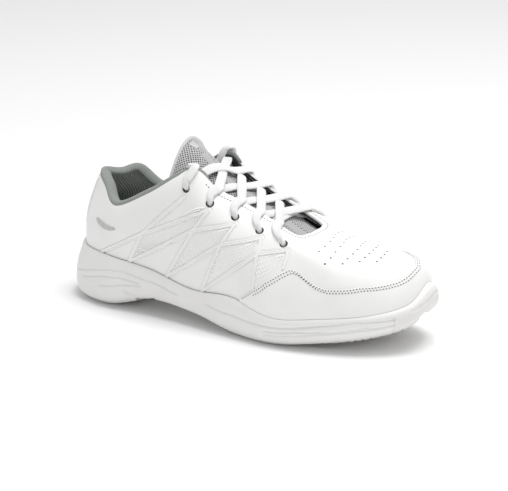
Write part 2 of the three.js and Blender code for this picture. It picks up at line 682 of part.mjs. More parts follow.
// From the top eyelet over the collar and down inside the shoe.
function tuckedEnd(side, outwards) {
  const stop = (s, t, offset, width, rise = 0) => {
    const at = side < 0 ? s : mirror(s);
    const h = side < 0 ? 0.05 : -0.05;
    const across = upperAt(at - h, t, offset).sub(upperAt(at + h, t, offset)).normalize();
    const point = upperAt(at, t, offset).add(new THREE.Vector3(0, 0, rise));
    return { point, across, width };
  };
  lay([
    stop(5.96, 0.88, OVER + 0.3, 6),
    stop(5.9, 1, 1.6, 6.5, 1.2),
    stop(6.02, 1, -2.2, 6.2, 3.8),
    stop(6.2, 0.98, -7.1, 6),
    stop(6.24, 0.8, -6.4, 6),
    stop(6.2, 0.6, -6, 6),
    stop(6.2, 0.42, -6, 6),
    stop(6.15, 0.3, -6, 5),
  ], outwards);
}

const LIFT_OVER = LACE_THICKNESS + 0.35;
const LAST = EYELETS.length - 1;

// At each crossing the lace from the outer side lies on top, except at the uppermost one.
const liftOf = (side, k) => ((side < 0) === (k > 1) ? LIFT_OVER : 0);

// A straight bar joins the two lowest eyelets under the flaps.
function bar() {
  const half = (side) => [
    flapStop(side, LAST, 0.65, 0, UNDER - 0.3),
    flapStop(side, LAST, 1, 0, UNDER - 0.9),
  ];
  const [near, far] = [half(-1), half(1)];
  lay([...near, ...overTongue(near[1].point, far[1].point, 0), ...far.reverse()], true);
}

// Outer tucked end, down the eyelets to the bar, and back up to the inner tucked end.
tuckedEnd(-1, false);
for (let k = 0; k < LAST; k += 1) {
  const side = k % 2 === 0 ? -1 : 1;
  throughEyelet(side, k, true);
  crossing(-side, k + 1, liftOf(-side, k + 1), false);
}
throughEyelet(-1, LAST, true);
bar();
for (let k = LAST; k > 0; k -= 1) {
  const side = k % 2 === 0 ? 1 : -1;
  throughEyelet(side, k, false);
  crossing(side, k, liftOf(side, k), true);
}
throughEyelet(1, 0, false);
tuckedEnd(1, true);

function flatLace() {
  const curve = new THREE.CatmullRomCurve3(route.map((stop) => stop.point), false, 'centripetal');
  const steps = 2;
  const segments = (route.length - 1) * steps;
  const points = [];
  const faces = [];
  for (let i = 0; i <= segments; i += 1) {
    const at = i / steps;
    const k = Math.min(route.length - 2, Math.floor(at));
    const centre = curve.getPoint(i / segments);
    const tangent = curve.getTangent(i / segments);
    const hint = route[k].across.clone().lerp(route[k + 1].across, at - k);
    const across = hint.addScaledVector(tangent, -hint.dot(tangent)).normalize();
    const normal = tangent.clone().cross(across);
    const half = THREE.MathUtils.lerp(route[k].width, route[k + 1].width, at - k) / 2;
    for (const [a, b] of [[1, 1], [-1, 1], [-1, -1], [1, -1]]) {
      points.push(centre.clone().addScaledVector(across, a * half)
        .addScaledVector(normal, (b * LACE_THICKNESS) / 2));
    }
  }
  for (let i = 0; i < segments; i += 1) {
    for (let j = 0; j < 4; j += 1) {
      const [a, b] = [i * 4 + j, i * 4 + ((j + 1) % 4)];
      faces.push([a, b, b + 4], [a, b + 4, a + 4]);
    }
  }
  const end = segments * 4;
  faces.push([0, 2, 1], [0, 3, 2], [end, end + 1, end + 2], [end, end + 2, end + 3]);
  return { geometry: solid(points, faces), curve };
}

const AGLET_LENGTH = 16;
const AGLET_RADIUS = 1.6;

function aglet(curve, u) {
  const outward = curve.getTangent(u).multiplyScalar(u === 0 ? -1 : 1);
  const centre = curve.getPoint(u).addScaledVector(outward, AGLET_LENGTH / 2 + GAP);
  const turn = new THREE.Quaternion().setFromUnitVectors(new THREE.Vector3(0, 1, 0), outward);
  return new THREE.CylinderGeometry(AGLET_RADIUS, AGLET_RADIUS, AGLET_LENGTH, 10)
    .applyQuaternion(turn).translate(centre.x, centre.y, centre.z);
}

const lace = flatLace();
addPiece('lace', lace.geometry, 'lace');
addPiece('aglet_lateral', aglet(lace.curve, 0), 'film');
addPiece('aglet_medial', aglet(lace.curve, 1), 'film');

export default shoe;
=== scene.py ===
"""The visual model of a right cheer shoe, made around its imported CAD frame.

The upper is a surface addressed by (s, t), as in the CAD. s counts 20 stations round the shoe
from the toe tip along the outer side (1 to 9) to the heel (10) and back along the inner side
(11 to 19). t runs from the sole lip (0) to the throat or collar edge (1). Layers are offsets
along the outward normal, 0 being the outer face of the leather. The curve maths is in
millimetres, and the meshes are in metres.
"""
import math

import bpy
import numpy as np
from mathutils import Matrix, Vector


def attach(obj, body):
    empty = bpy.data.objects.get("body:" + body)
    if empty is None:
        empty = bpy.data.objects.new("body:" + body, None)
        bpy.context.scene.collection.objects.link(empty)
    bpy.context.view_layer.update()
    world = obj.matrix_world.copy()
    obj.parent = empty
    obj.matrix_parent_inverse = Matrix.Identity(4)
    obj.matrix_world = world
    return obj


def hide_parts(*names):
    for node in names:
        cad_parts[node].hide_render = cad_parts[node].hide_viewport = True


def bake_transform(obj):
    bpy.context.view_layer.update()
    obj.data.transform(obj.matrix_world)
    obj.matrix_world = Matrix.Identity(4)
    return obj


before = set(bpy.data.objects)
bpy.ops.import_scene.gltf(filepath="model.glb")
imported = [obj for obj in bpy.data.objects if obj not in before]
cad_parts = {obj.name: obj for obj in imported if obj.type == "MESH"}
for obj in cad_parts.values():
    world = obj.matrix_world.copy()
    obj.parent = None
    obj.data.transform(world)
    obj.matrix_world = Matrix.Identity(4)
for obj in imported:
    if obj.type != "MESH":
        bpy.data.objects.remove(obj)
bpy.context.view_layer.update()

MM = 0.001
STATIONS = 20
SHIFT_X = -2.1
LEATHER = 1.5
LINER_DEPTH = 2.7           # offset of the face between the stiffeners and the lining
LINING = 0.6
LINING_FACE = LINER_DEPTH + 0.3     # depth of the collar lining's outer face, less the padding
EYELET_RADIUS = 3.0
PERFORATION_RADIUS = 0.78
LACE_WIDTH = 7.0
LACE_THICKNESS = 2.3
STATION_LENGTH = 36.0       # rough length of one station along the upper
FAR = 1e3                   # a distance beyond any that matters

# Plan outline of the sole, and the heights and insets of its parts, station by station.
OUTLINE_X = [142.2, 136, 114, 83, 48, 12, -24, -60, -96, -127, -140,
             -127, -96, -60, -24, 12, 48, 83, 113, 135]
OUTLINE_Y = [8, -14, -33, -44.5, -49.8, -46, -39.5, -36, -36, -24, 0,
             24.5, 34, 33, 32, 38, 47.5, 49.7, 43.5, 28]
GROUND_Z = [19, 14, 8.5, 3.5, 0, 0, 6.5, 8.5, 0, 0, 0.5, 0, 0, 8.5, 7, 0, 0, 3, 8, 13.5]
EDGE_Z = [22, 16, 11, 6, 1.4, 1.2, 7.7, 9.7, 2.5, 2.5, 5, 2.5, 2.5, 9.2, 10, 4, 1.4, 5, 10, 16]
LIP_Z = [46, 35, 29, 25, 21.5, 29, 26.5, 34, 38.5, 39, 40,
         39, 38, 36, 33, 29, 22, 25, 29, 36]
FLOOR_Z = [27, 24, 21, 18, 15.5, 17, 19, 23, 27, 28, 28, 28, 27, 24, 20, 17, 15.5, 18, 21, 24]
LIP_INSET = [3.5, 2.5, 1.5, 1, 1, 2, 2.5, 3, 4, 6, 7, 6, 4, 3, 3, 2, 1, 1, 1.5, 2.5]
EDGE_INSET = [9, 9, 8, 7, 6, 7, 8, 8, 5, 3, 3, 3, 5, 8, 8, 6, 6, 7, 8, 9]
WIDEST = [0.7, 0.7, 0.65, 0.6, 0.6, 0.5, 0.45, 0.4, 0.3, 0.28, 0.28,
          0.28, 0.3, 0.4, 0.45, 0.5, 0.6, 0.6, 0.65, 0.7]
# Throat and collar edge, and the handles of the curve that rises to it from the sole lip.
TOP_X = [55.5, 55, 49, 29, 10, -9, -28, -61, -91, -109, -121,
         -114.5, -102.5, -77, -31, -11, 8, 28, 50, 55]
TOP_Y = [1, -9, -16, -17.5, -19, -22, -26, -30, -27, -13, 0, 15, 26, 30, 27, 23, 20, 19, 17, 10]
TOP_Z = [72.5, 72.5, 73, 82.5, 91, 98.5, 111, 92, 77.5, 86, 92,
         89.5, 91.5, 79.5, 111, 100, 92, 83, 73.5, 72.5]
LOW_OUT = [0, 0, 0, 0, 1, 2, 2, 2, 2, 2, 2, 2, 2, 2, 2, 2, 1, 0, 0, 0]
LOW_UP = [22, 20, 20, 24, 28, 30, 30, 26, 18, 22, 24, 22, 20, 26, 32, 32, 28, 24, 20, 20]
HIGH_OUT = [50, 40, 30, 20, 17, 15, 14, 9, 7, 5, 5, 5, 7, 9, 14, 15, 17, 20, 30, 40]
HIGH_UP = [-7, -6, -4, -6, -8, -9, -12, -16, -14, -16, -16, -16, -14, -16, -12, -9, -8, -6, -4, -6]

EYELETS = [(6.01, 0.77), (5.15, 0.76), (4.26, 0.76), (3.5, 0.73), (2.81, 0.69)]
# Strips of the cage: the number of the eyelet, the crossing on the way, and the end.
STRIPS = [(0, (7.13, 0.4), (7.48, 0.0)),
          (1, (7.13, 0.4), (8.26, 0.0)), (1, (5.8, 0.45), (6.62, 0.0)),
          (2, (5.8, 0.45), (7.48, 0.0)), (2, (5.01, 0.41), (5.75, 0.0)),
          (3, (5.01, 0.41), (6.62, 0.0)), (3, (3.91, 0.49), (4.38, 0.17)),
          (4, (3.91, 0.49), (5.75, 0.0)), (4, (3.15, 0.5), (3.37, 0.42))]
# Dotted fields between the strips, by their four corners.
DOT_FIELDS = [((5.16, 0.72), (7.13, 0.4), (7.46, 0.04), (5.8, 0.45)),
              ((4.28, 0.72), (5.8, 0.45), (6.6, 0.04), (5.01, 0.41)),
              ((3.52, 0.68), (5.01, 0.41), (5.7, 0.06), (3.91, 0.49)),
              ((2.83, 0.62), (3.91, 0.49), (4.38, 0.22), (3.35, 0.44))]
# Upper edge of the mudguard: low at the sides, a peak on each flank and a V over the toe.
GUARD = [(-4.76, 0.02), (-4.38, 0.16), (-3.97, 0.28), (-3.57, 0.36), (-3.2, 0.42), (-3, 0.4),
         (-2.8, 0.33), (-2.5, 0.31), (-2, 0.35), (-1.4, 0.43), (-0.8, 0.48), (-0.4, 0.42),
         (-0.1, 0.33), (0.2, 0.25), (0.6, 0.255), (1.1, 0.28), (1.84, 0.31), (2.34, 0.29),
         (2.66, 0.28), (2.87, 0.31), (3.08, 0.41), (3.21, 0.42), (3.57, 0.36), (3.97, 0.28),
         (4.38, 0.16), (4.76, 0.02)]
# Rows of small holes across the vamp: start, middle, end, and how many holes.
PERFORATIONS = [((1.53, 0.76), (0.24, 0.89), (-0.73, 0.88), 7),
                ((1.93, 0.59), (0.51, 0.8), (-0.34, 0.81), 8),
                ((1.4, 0.59), (0.5, 0.7), (-0.13, 0.73), 7),
                ((0.94, 0.58), (0.38, 0.625), (-0.07, 0.64), 6),
                ((0.67, 0.52), (0.4, 0.535), (0.14, 0.55), 4)]
# Grooves moulded in the sole wall, in stations and shares of its height.
GROOVES = [
    [(8.99, 0.52), (7.95, 0.74), (7.55, 0.77), (7.17, 0.69), (6.69, 0.68), (6.29, 0.64)],
    [(8.77, 0.43), (8.12, 0.58), (7.62, 0.62), (7.22, 0.55)],
    [(8.18, 0.38), (7.61, 0.46), (7.19, 0.48)],
    [(7.50, 0.32), (7.35, 0.18), (7.27, 0.06)],
    [(7.08, 0.04), (6.58, 0.26)],
    [(5.57, 0.66), (5.18, 0.58), (4.57, 0.61), (4.06, 0.70), (3.32, 0.75), (2.28, 0.84), (1.4, 0.70)],
    [(4.14, 0.51), (3.57, 0.57), (2.80, 0.52), (2.00, 0.59)],
    [(4.12, 0.39), (3.32, 0.44), (2.28, 0.51), (1.42, 0.48)],
]

# Crest of the tongue from under the vamp to its free end: x, z, half width, drop at the sides,
# and tilt towards the outer side.
TONGUE_X = [74, 60, 46, 30, 10, -10, -24, -36, -50]
TONGUE_Z = [63.5, 66.3, 69, 77.3, 87.8, 97.2, 107.5, 116.8, 123]
TONGUE_HALF = [17, 20, 22, 23, 25, 25.5, 24, 21.5, 25]
TONGUE_DROP = [0.004, 0.005, 0.007, 0.008, 0.01, 0.013, 0.024, 0.035, 0.027]
TONGUE_TILT = [0.06, 0.07, 0.07, 0.05, 0.04, 0.03, 0.01, 0.02, 0.4]


# ---- Camera --------------------------------------------------------------------------------

def add_camera():
    """A long lens that looks at the shoe's outer side and toe from a little above."""
    azimuth = math.radians(30)
    elevation = math.radians(17.575)
    distance = 1.5
    aim = Vector((0.00467, 0, 0.05365))
    away = Vector((math.sin(azimuth) * math.cos(elevation),
                   -math.cos(azimuth) * math.cos(elevation),
                   math.sin(elevation)))
    data = bpy.data.cameras.new("camera")
    data.sensor_width = 36
    data.lens = 151.2
    camera = bpy.data.objects.new("camera", data)
    camera.location = aim + distance * away
    camera.rotation_euler = away.to_track_quat("Z", "Y").to_euler()
    bpy.context.collection.objects.link(camera)
    bpy.context.scene.camera = camera


# ---- Curves and surfaces -------------------------------------------------------------------

def smooth(x, low, high):
    """Rises smoothly from 0 at low to 1 at high."""
    w = np.clip((x - low) / (high - low), 0, 1)
    return w * w * (3 - 2 * w)


def mirror(s):
    """The station opposite to s on the other side of the shoe."""
    return STATIONS - s


def ring(values, s):
    """A closed Catmull-Rom curve through the values of the stations."""
    values = np.asarray(values, float)
    s = np.asarray(s, float)
    i = np.floor(s).astype(int)
    w = s - i
    a, b, c, d = (values[(i + k) % len(values)] for k in (-1, 0, 1, 2))
    return b + 0.5 * w * (c - a + w * (2 * a - 5 * b + 4 * c - d + w * (3 * (b - c) + d - a)))


def outline(s, inset):
    """Plan position of the sole's outline, moved in by inset, and its outward direction."""
    h = 0.001
    dx = ring(OUTLINE_X, s + h) - ring(OUTLINE_X, s - h)
    dy = ring(OUTLINE_Y, s + h) - ring(OUTLINE_Y, s - h)
    length = np.hypot(dx, dy)
    out = np.stack([-dy / length, dx / length], -1)
    at = np.stack([ring(OUTLINE_X, s) + SHIFT_X, ring(OUTLINE_Y, s)], -1)
    return at - out * np.asarray(inset)[..., None], out


def outline_point(s, inset, z):
    at, _ = outline(s, inset)
    return np.concatenate([at, (z + 0 * s)[..., None]], -1)


def upper_point(s, t):
    """The outer face of the leather: a cubic curve from the sole lip to the top edge."""
    at, out = outline(s, ring(LIP_INSET, s) + 1.5)
    foot = np.concatenate([at, (ring(LIP_Z, s) + 0.3)[..., None]], -1)
    top = np.stack([ring(TOP_X, s) + SHIFT_X, ring(TOP_Y, s), ring(TOP_Z, s)], -1)
    low = foot.copy()
    low[..., :2] += out * ring(LOW_OUT, s)[..., None]
    low[..., 2] += ring(LOW_UP, s)
    high = top.copy()
    high[..., :2] += out * ring(HIGH_OUT, s)[..., None]
    high[..., 2] += ring(HIGH_UP, s)
    t = np.asarray(t, float)[..., None]
    r = 1 - t
    return r ** 3 * foot + 3 * r * r * t * low + 3 * r * t * t * high + t ** 3 * top


def sole_wall_point(s, t):
    """The side of the sole, from its lower edge (t = 0) over its widest level to the lip (1)."""
    widest = ring(WIDEST, s)
    low = ring(EDGE_INSET, s) * np.maximum(0, 1 - t / widest) ** 2.5
    high = ring(LIP_INSET, s) * np.maximum(0, (t - widest) / (1 - widest)) ** 2
    z = ring(EDGE_Z, s) + (ring(LIP_Z, s) - ring(EDGE_Z, s)) * t
    return outline_point(s, low + high, z)


def unit(vectors):
    return vectors / np.linalg.norm(vectors, axis=-1, keepdims=True)


def normal_of(surface, s, t):
    h = 0.01
    along = surface(s + h, t) - surface(s - h, t)
    upward = surface(s, np.minimum(1, t + h)) - surface(s, np.maximum(0, t - h))
    return unit(np.cross(upward, along))


def raised(surface, s, t, offset):
    """Points of a surface moved along its outward normal."""
    s, t = np.broadcast_arrays(np.asarray(s, float), np.asarray(t, float))
    offset = np.broadcast_to(offset, s.shape)[..., None]
    return surface(s, t) + normal_of(surface, s, t) * offset


def around_heel(s, low, high):
    """0 towards the toe, rising to 1 between the stations low and high on both sides."""
    return smooth(s, low, high) * (1 - smooth(s, mirror(high), mirror(low)))


def padding(s, t):
    """The padding swells behind the collar and is thickest round the heel."""
    return 4.2 * around_heel(s, 6.3, 7.6) * smooth(t, 0.3, 0.75)


def panel_top(s):
    """The leather ends a little below the collar edge, where the knit takes over."""
    return 1 - 0.045 * around_heel(s, 6.05, 6.35)


def seam(t):
    """The side seams of the vamp lean forwards as they rise."""
    return 2.1 + 1.2 * (1 - t)


def along(values, u):
    """An open Catmull-Rom curve through the values, u from 0 to 1."""
    values = np.asarray(values, float)
    last = len(values) - 1
    at = np.clip(u, 0, 1) * last
    i = np.minimum(np.floor(at).astype(int), last - 1)
    w = at - i
    a, b, c, d = (values[np.clip(i + k, 0, last)] for k in (-1, 0, 1, 2))
    return b + 0.5 * w * (c - a + w * (2 * a - 5 * b + 4 * c - d + w * (3 * (b - c) + d - a)))


def tongue_point(u, v):
    """The tongue's face: u runs from under the vamp to its free end, v across it."""
    y = along(TONGUE_HALF, u) * (2 * v - 1)
    z = along(TONGUE_Z, u) + along(TONGUE_TILT, u) * y - along(TONGUE_DROP, u) * y * y
    return np.stack([along(TONGUE_X, u) + SHIFT_X, y, z], -1)


def tongue_at(u, v, offset):
    """The tongue's face moved along its normal."""
    h = 0.01
    du = tongue_point(np.minimum(1, u + h), v) - tongue_point(np.maximum(0, u - h), v)
    dv = tongue_point(u, v + h) - tongue_point(u, v - h)
    return tongue_point(u, v) + unit(np.cross(dv, du)) * np.asarray(offset)[..., None]


def distance_to_line(surface, points, s, t, line):
    """Distance from the surface points at (s, t) to a line of straight stretches in (s, t)."""
    nearest = np.full(s.shape, FAR)
    height = np.linalg.norm(surface(np.array(line[0][0]), np.array(1.0))
                            - surface(np.array(line[0][0]), np.array(0.0)))
    scale = np.array([STATION_LENGTH, height])
    for start, end in zip(line, line[1:]):
        step = (np.array(end) - start) * scale
        reach = (s - start[0]) * scale[0] * step[0] + (t - start[1]) * scale[1] * step[1]
        w = np.clip(reach / (step @ step), 0, 1)
        foot = surface(start[0] + w * (end[0] - start[0]), start[1] + w * (end[1] - start[1]))
        nearest = np.minimum(nearest, np.linalg.norm(points - foot, axis=-1))
    return nearest


# ---- Meshes --------------------------------------------------------------------------------

SHARP_EDGE = 38             # degrees between two faces that are shaded as a sharp edge


def grid_faces(rows, columns, wrap_rows=False, wrap_columns=False):
    """The quads of a grid of points, which may close on itself either way."""
    i, j = np.meshgrid(np.arange(rows if wrap_rows else rows - 1),
                       np.arange(columns if wrap_columns else columns - 1), indexing="ij")
    below = (i + 1) % rows
    beside = (j + 1) % columns
    corners = [i * columns + j, below * columns + j, below * columns + beside, i * columns + beside]
    return np.stack(corners, -1).reshape(-1, 4)


def tube_faces(rows, sides):
    """The faces of a tube of rings with a cap on each end."""
    faces = grid_faces(rows, sides, wrap_columns=True).tolist()
    first = list(range(sides))
    last = [(rows - 1) * sides + k for k in range(sides)][::-1]
    return faces + [first, last]


def outward(points, faces):
    """The faces, turned over if they enclose a negative volume."""
    a, b, c, d = (points[faces[:, k]] for k in range(4))
    volume = (np.cross(a, b) * c).sum() + (np.cross(a, c) * d).sum()
    return faces[:, ::-1] if volume < 0 else faces


def shell(outer, inner, keep=None):
    """A closed sheet between two grids of points. keep marks the cells that exist."""
    rows, columns = outer.shape[:2]
    count = rows * columns
    faces = grid_faces(rows, columns)
    if keep is not None:
        faces = faces[keep.ravel()]
    starts = faces.ravel()
    ends = np.roll(faces, -1, axis=1).ravel()
    rim = ~np.isin(starts * count + ends, ends * count + starts)
    a, b = starts[rim], ends[rim]
    sides = np.stack([b, a, a + count, b + count], -1)
    points = np.concatenate([outer.reshape(-1, 3), inner.reshape(-1, 3)])
    faces = np.concatenate([faces, faces[:, ::-1] + count, sides])
    used, faces = np.unique(faces, return_inverse=True)
    faces = faces.reshape(-1, 4)
    return points[used], outward(points[used], faces), used


def running_length(grid, axis):
    """Length from the start of each row or column of a grid to each of its points."""
    gaps = np.linalg.norm(np.diff(grid, axis=axis), axis=-1)
    pad = [(0, 0), (0, 0)]
    pad[axis] = (1, 0)
    return np.pad(np.cumsum(gaps, axis=axis), pad)


def grid_uv(grid):
    """Distances along the rows and columns of a grid, in metres, as texture coordinates."""
    return np.stack([running_length(grid, 0), running_length(grid, 1)], -1).reshape(-1, 2) * MM


def make(name, points, faces, material, body="shoe", uv=None, sharp=SHARP_EDGE, nodes=(), slot=None):
    """A mesh object from points in millimetres. uv holds one pair for each point."""
    mesh = bpy.data.meshes.new(name)
    lists = faces.tolist() if hasattr(faces, "tolist") else faces
    mesh.from_pydata((points * MM).tolist(), [], lists)
    mesh.shade_smooth()
    mesh.set_sharp_from_angle(angle=math.radians(sharp))
    if uv is not None:
        layer = mesh.uv_layers.new(name="weave")
        corner = np.empty(len(mesh.loops), int)
        mesh.loops.foreach_get("vertex_index", corner)
        layer.data.foreach_set("uv", uv[corner].ravel().astype(np.float32))
    mesh.materials.append(material)
    piece = bpy.data.objects.new(name, mesh)
    bpy.context.collection.objects.link(piece)
    if body:
        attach(piece, body)
    if nodes:
        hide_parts(*nodes)
    return piece


def mark_points(piece, values):
    """Stores one number a point, which the materials read as 'dark'."""
    attribute = piece.data.attributes.new("dark", "FLOAT", "POINT")
    attribute.data.foreach_set("value", values.astype(np.float32))


def steps(length, pitch, fine=(0.0, 0.12, 0.3, 0.6)):
    """Shares from 0 to 1 of a length, closer together near both ends so that edges can roll."""
    near = np.array(fine) / length
    middle = np.linspace(near[-1], 1 - near[-1], max(3, int(length / pitch)))
    return np.concatenate([near[:-1], middle, 1 - near[-2::-1]])


def edge_distance(grid, axes=(0, 1)):
    """Distance of each grid point from the grid's nearest edge, along its rows and columns."""
    result = np.full(grid.shape[:2], FAR)
    for axis in axes:
        run = running_length(grid, axis)
        total = run.max(axis=axis, keepdims=True)
        result = np.minimum(result, np.minimum(run, total - run))
    return result


def roll_drop(distance, radius):
    """How far a rounded edge has dropped at a distance from the edge."""
    short = radius - np.minimum(distance, radius)
    return radius - np.sqrt(np.maximum(0, radius ** 2 - short ** 2))


def panel(name, s, t, top, bottom, roll, material, axes=(0, 1), **options):
    """A sheet on the upper, rounded at the edges that end the axes. top may vary over the grid."""
    base = raised(upper_point, s, t, top)
    drop = roll_drop(edge_distance(base, axes), roll)
    outer = raised(upper_point, s, t, top - drop)
    inner = raised(upper_point, s, t, bottom)
    points, faces, used = shell(outer, inner)
    uv = np.concatenate([grid_uv(base), grid_uv(base)])[used]
    return make(name, points, faces, material, uv=uv, **options)


def circle_about(axis, sides):
    """Directions of a circle of points square to an axis."""
    skew = [0.31, 0.2, 0.93]
    side = unit(np.cross(axis, skew))
    other = np.cross(axis, side)
    angle = np.arange(sides) * 2 * math.pi / sides
    return np.cos(angle)[:, None] * side + np.sin(angle)[:, None] * other


def cylinder(centre, axis, radius, reach, sides):
    """Points and faces of a closed cylinder about a centre."""
    circle = radius * circle_about(axis, sides)
    points = np.concatenate([centre + circle - axis * reach / 2, centre + circle + axis * reach / 2])
    faces = [[k, (k + 1) % sides, sides + (k + 1) % sides, sides + k] for k in range(sides)]
    faces.append(list(range(sides))[::-1])
    faces.append(list(range(sides, 2 * sides)))
    return points, faces


def joined(parts):
    """Points and faces of several parts as one mesh."""
    points = []
    faces = []
    count = 0
    for part_points, part_faces in parts:
        points.append(part_points)
        faces += [[count + k for k in face] for face in part_faces]
        count += len(part_points)
    return np.concatenate(points), faces


def punch_holes(piece, places, radius, reach=9.0, sides=20):
    """Cuts round holes through a piece, along the upper's normal."""
    tools = []
    for s, t in places:
        s, t = np.array(s), np.array(t)
        tools.append(cylinder(upper_point(s, t), normal_of(upper_point, s, t), radius, reach, sides))
    points, faces = joined(tools)
    mesh = bpy.data.meshes.new("punch")
    mesh.from_pydata((points * MM).tolist(), [], faces)
    tool = bpy.data.objects.new("punch", mesh)
    bpy.context.collection.objects.link(tool)
    cutter = piece.modifiers.new("holes", "BOOLEAN")
    cutter.operation = "DIFFERENCE"
    cutter.solver = "MANIFOLD"
    cutter.object = tool
    shown = piece.evaluated_get(bpy.context.evaluated_depsgraph_get())
    result = bpy.data.meshes.new_from_object(shown)
    piece.modifiers.clear()
    piece.data = result
    result.shade_smooth()
    result.set_sharp_from_angle(angle=math.radians(SHARP_EDGE))
    bpy.data.objects.remove(tool)


# ---- Materials -----------------------------------------------------------------------------

class Finish:
    """A material under construction: its principled shader and the nodes that feed it."""

    def __init__(self, name, colour, roughness, **sockets):
        self.material = bpy.data.materials.new(name)
        self.material.use_nodes = True
        self.tree = self.material.node_tree
        self.shader = self.tree.nodes["Principled BSDF"]
        self.material.diffuse_color = (*colour, 1)
        self.shader.inputs["Base Color"].default_value = (*colour, 1)
        self.shader.inputs["Roughness"].default_value = roughness
        for socket, value in sockets.items():
            self.shader.inputs[socket.replace("_", " ")].default_value = value

    def add(self, kind, settings=None, **inputs):
        made = self.tree.nodes.new("ShaderNode" + kind)
        for name, value in (settings or {}).items():
            setattr(made, name, value)
        for name, value in inputs.items():
            self.feed(value, made.inputs[int(name[1:]) if name[0] == "_" else name])
        return made

    def feed(self, value, socket):
        if isinstance(value, bpy.types.NodeSocket):
            self.tree.links.new(value, socket)
        else:
            socket.default_value = value

    def position(self):
        return self.add("TexCoord").outputs["Object"]

    def noise(self, scale, detail=2.0):
        made = self.add("TexNoise", Vector=self.position(), Scale=scale, Detail=detail)
        return made.outputs["Fac"]

    def cells(self, scale):
        made = self.add("TexVoronoi", {"feature": "DISTANCE_TO_EDGE"}, Vector=self.position(), Scale=scale)
        return made.outputs["Distance"]

    def attribute(self):
        return self.add("Attribute", {"attribute_name": "dark"}).outputs["Fac"]

    def across(self):
        split = self.add("SeparateXYZ", Vector=self.add("UVMap", {"uv_map": "weave"}).outputs["UV"])
        return split.outputs["X"], split.outputs["Y"]

    def combine(self, operation, a, b):
        """A sum, difference or product. MULTIPLY_ADD also adds its usual 0.5."""
        return self.add("Math", {"operation": operation}, _0=a, _1=b).outputs[0]

    def wave(self, value, pitch):
        """A wave from -1 to 1 that repeats every pitch metres."""
        turned = self.combine("MULTIPLY", value, 2 * math.pi / pitch)
        return self.add("Math", {"operation": "SINE"}, _0=turned).outputs[0]

    def ramp(self, factor, *stops):
        made = self.add("ValToRGB", Fac=factor)
        elements = made.color_ramp.elements
        while len(elements) < len(stops):
            elements.new(0.5)
        for element, (place, colour) in zip(elements, stops):
            element.position = place
            element.color = (*colour, 1)
        return made.outputs["Color"]

    def paint(self, colour):
        self.feed(colour, self.shader.inputs["Base Color"])

    def relief(self, height, distance, strength=1.0):
        """Adds a bump of that depth in metres, on top of the earlier ones."""
        made = self.add("Bump", Strength=strength, Distance=distance, Height=height)
        earlier = self.shader.inputs["Normal"].links
        if earlier:
            self.tree.links.new(earlier[0].from_socket, made.inputs["Normal"])
        self.tree.links.new(made.outputs["Normal"], self.shader.inputs["Normal"])


def grey(value, warm=0.0):
    """A grey that loses some blue, and less green, as it gets warmer."""
    return (value, value * (1 - 0.4 * warm), value * (1 - warm))


def leather_finish():
    """White coated leather: fine pebbles, soft creases and slightly uneven gloss."""
    finish = Finish("white_leather", grey(0.86, 0.012), 0.42)
    finish.paint(finish.ramp(finish.noise(38, 3), (0.35, grey(0.845, 0.015)), (0.65, grey(0.875, 0.01))))
    finish.relief(finish.cells(1250), 0.00006, 0.55)
    finish.relief(finish.noise(420, 3), 0.00008, 0.5)
    return finish.material


def mottled(name, roughness, patches, tones, grain, depth, strength, base):
    """A plain surface: soft patches of two tones and one fine grain. Both are noise settings."""
    finish = Finish(name, base, roughness)
    finish.paint(finish.ramp(finish.noise(*patches), *tones))
    finish.relief(finish.noise(*grain), depth, strength)
    return finish.material


def film_finish():
    """Smooth welded film on the leather, a little glossier."""
    tones = (0.4, grey(0.87, 0.01)), (0.6, grey(0.89, 0.006))
    return mottled("white_film", 0.3, (60,), tones, (900,), 0.00003, 0.5, grey(0.88, 0.008))


def foam_finish():
    """Moulded foam with the fine skin of its mould."""
    tones = (0.35, grey(0.785, 0.018)), (0.65, grey(0.815, 0.012))
    return mottled("white_foam", 0.5, (25, 4), tones, (1500, 3), 0.00005, 0.6, grey(0.8, 0.015))


def rubber_finish():
    """Slightly warm white rubber, matt, with faint scuffs."""
    tones = (0.3, grey(0.76, 0.035)), (0.6, grey(0.79, 0.025))
    return mottled("pale_rubber", 0.6, (45, 5), tones, (800, 4), 0.0001, 0.5, grey(0.78, 0.03))


def knit_finish(name, dark, light, pitch):
    """Knit with diagonal ribs: light yarn over a dark ground."""
    finish = Finish(name, light, 0.9, Sheen_Weight=0.25)
    u, v = finish.across()
    ribs = finish.wave(finish.combine("ADD", u, v), pitch)
    stitches = finish.wave(finish.combine("SUBTRACT", u, v), pitch * 0.8)
    weave = finish.combine("ADD", ribs, finish.combine("MULTIPLY", stitches, 0.6))
    share = finish.combine("MULTIPLY_ADD", weave, 0.3)
    finish.paint(finish.ramp(share, (0.2, dark), (0.75, light)))
    finish.relief(weave, 0.00018, 0.7)
    finish.relief(finish.noise(2500, 2), 0.00008, 0.4)
    return finish.material


def spacer_finish():
    """Spacer mesh of the tongue: a grey net whose round holes are painted near black, as painted shade
    inside them.
    """
    finish = Finish("spacer_mesh", grey(0.55), 0.85, Sheen_Weight=0.2)
    # The far end of the ramp is painted shade: near black for the inside of the mesh holes.
    finish.paint(finish.ramp(finish.attribute(), (0.0, grey(0.56)), (0.4, grey(0.4)), (0.7, grey(0.02))))
    u, v = finish.across()
    weave = finish.combine("ADD", finish.wave(u, 0.0007), finish.wave(v, 0.0007))
    finish.relief(weave, 0.00006, 0.5)
    return finish.material


def lining_finish():
    """Dark grey-green textile inside the shoe."""
    finish = Finish("inner_lining", (0.12, 0.13, 0.125), 0.95, Sheen_Weight=0.15)
    u, v = finish.across()
    weave = finish.combine("MULTIPLY", finish.wave(u, 0.0012), finish.wave(v, 0.0012))
    finish.paint(finish.ramp(weave, (0.2, (0.09, 0.1, 0.095)), (0.8, (0.17, 0.185, 0.18))))
    finish.relief(weave, 0.00012, 0.7)
    return finish.material


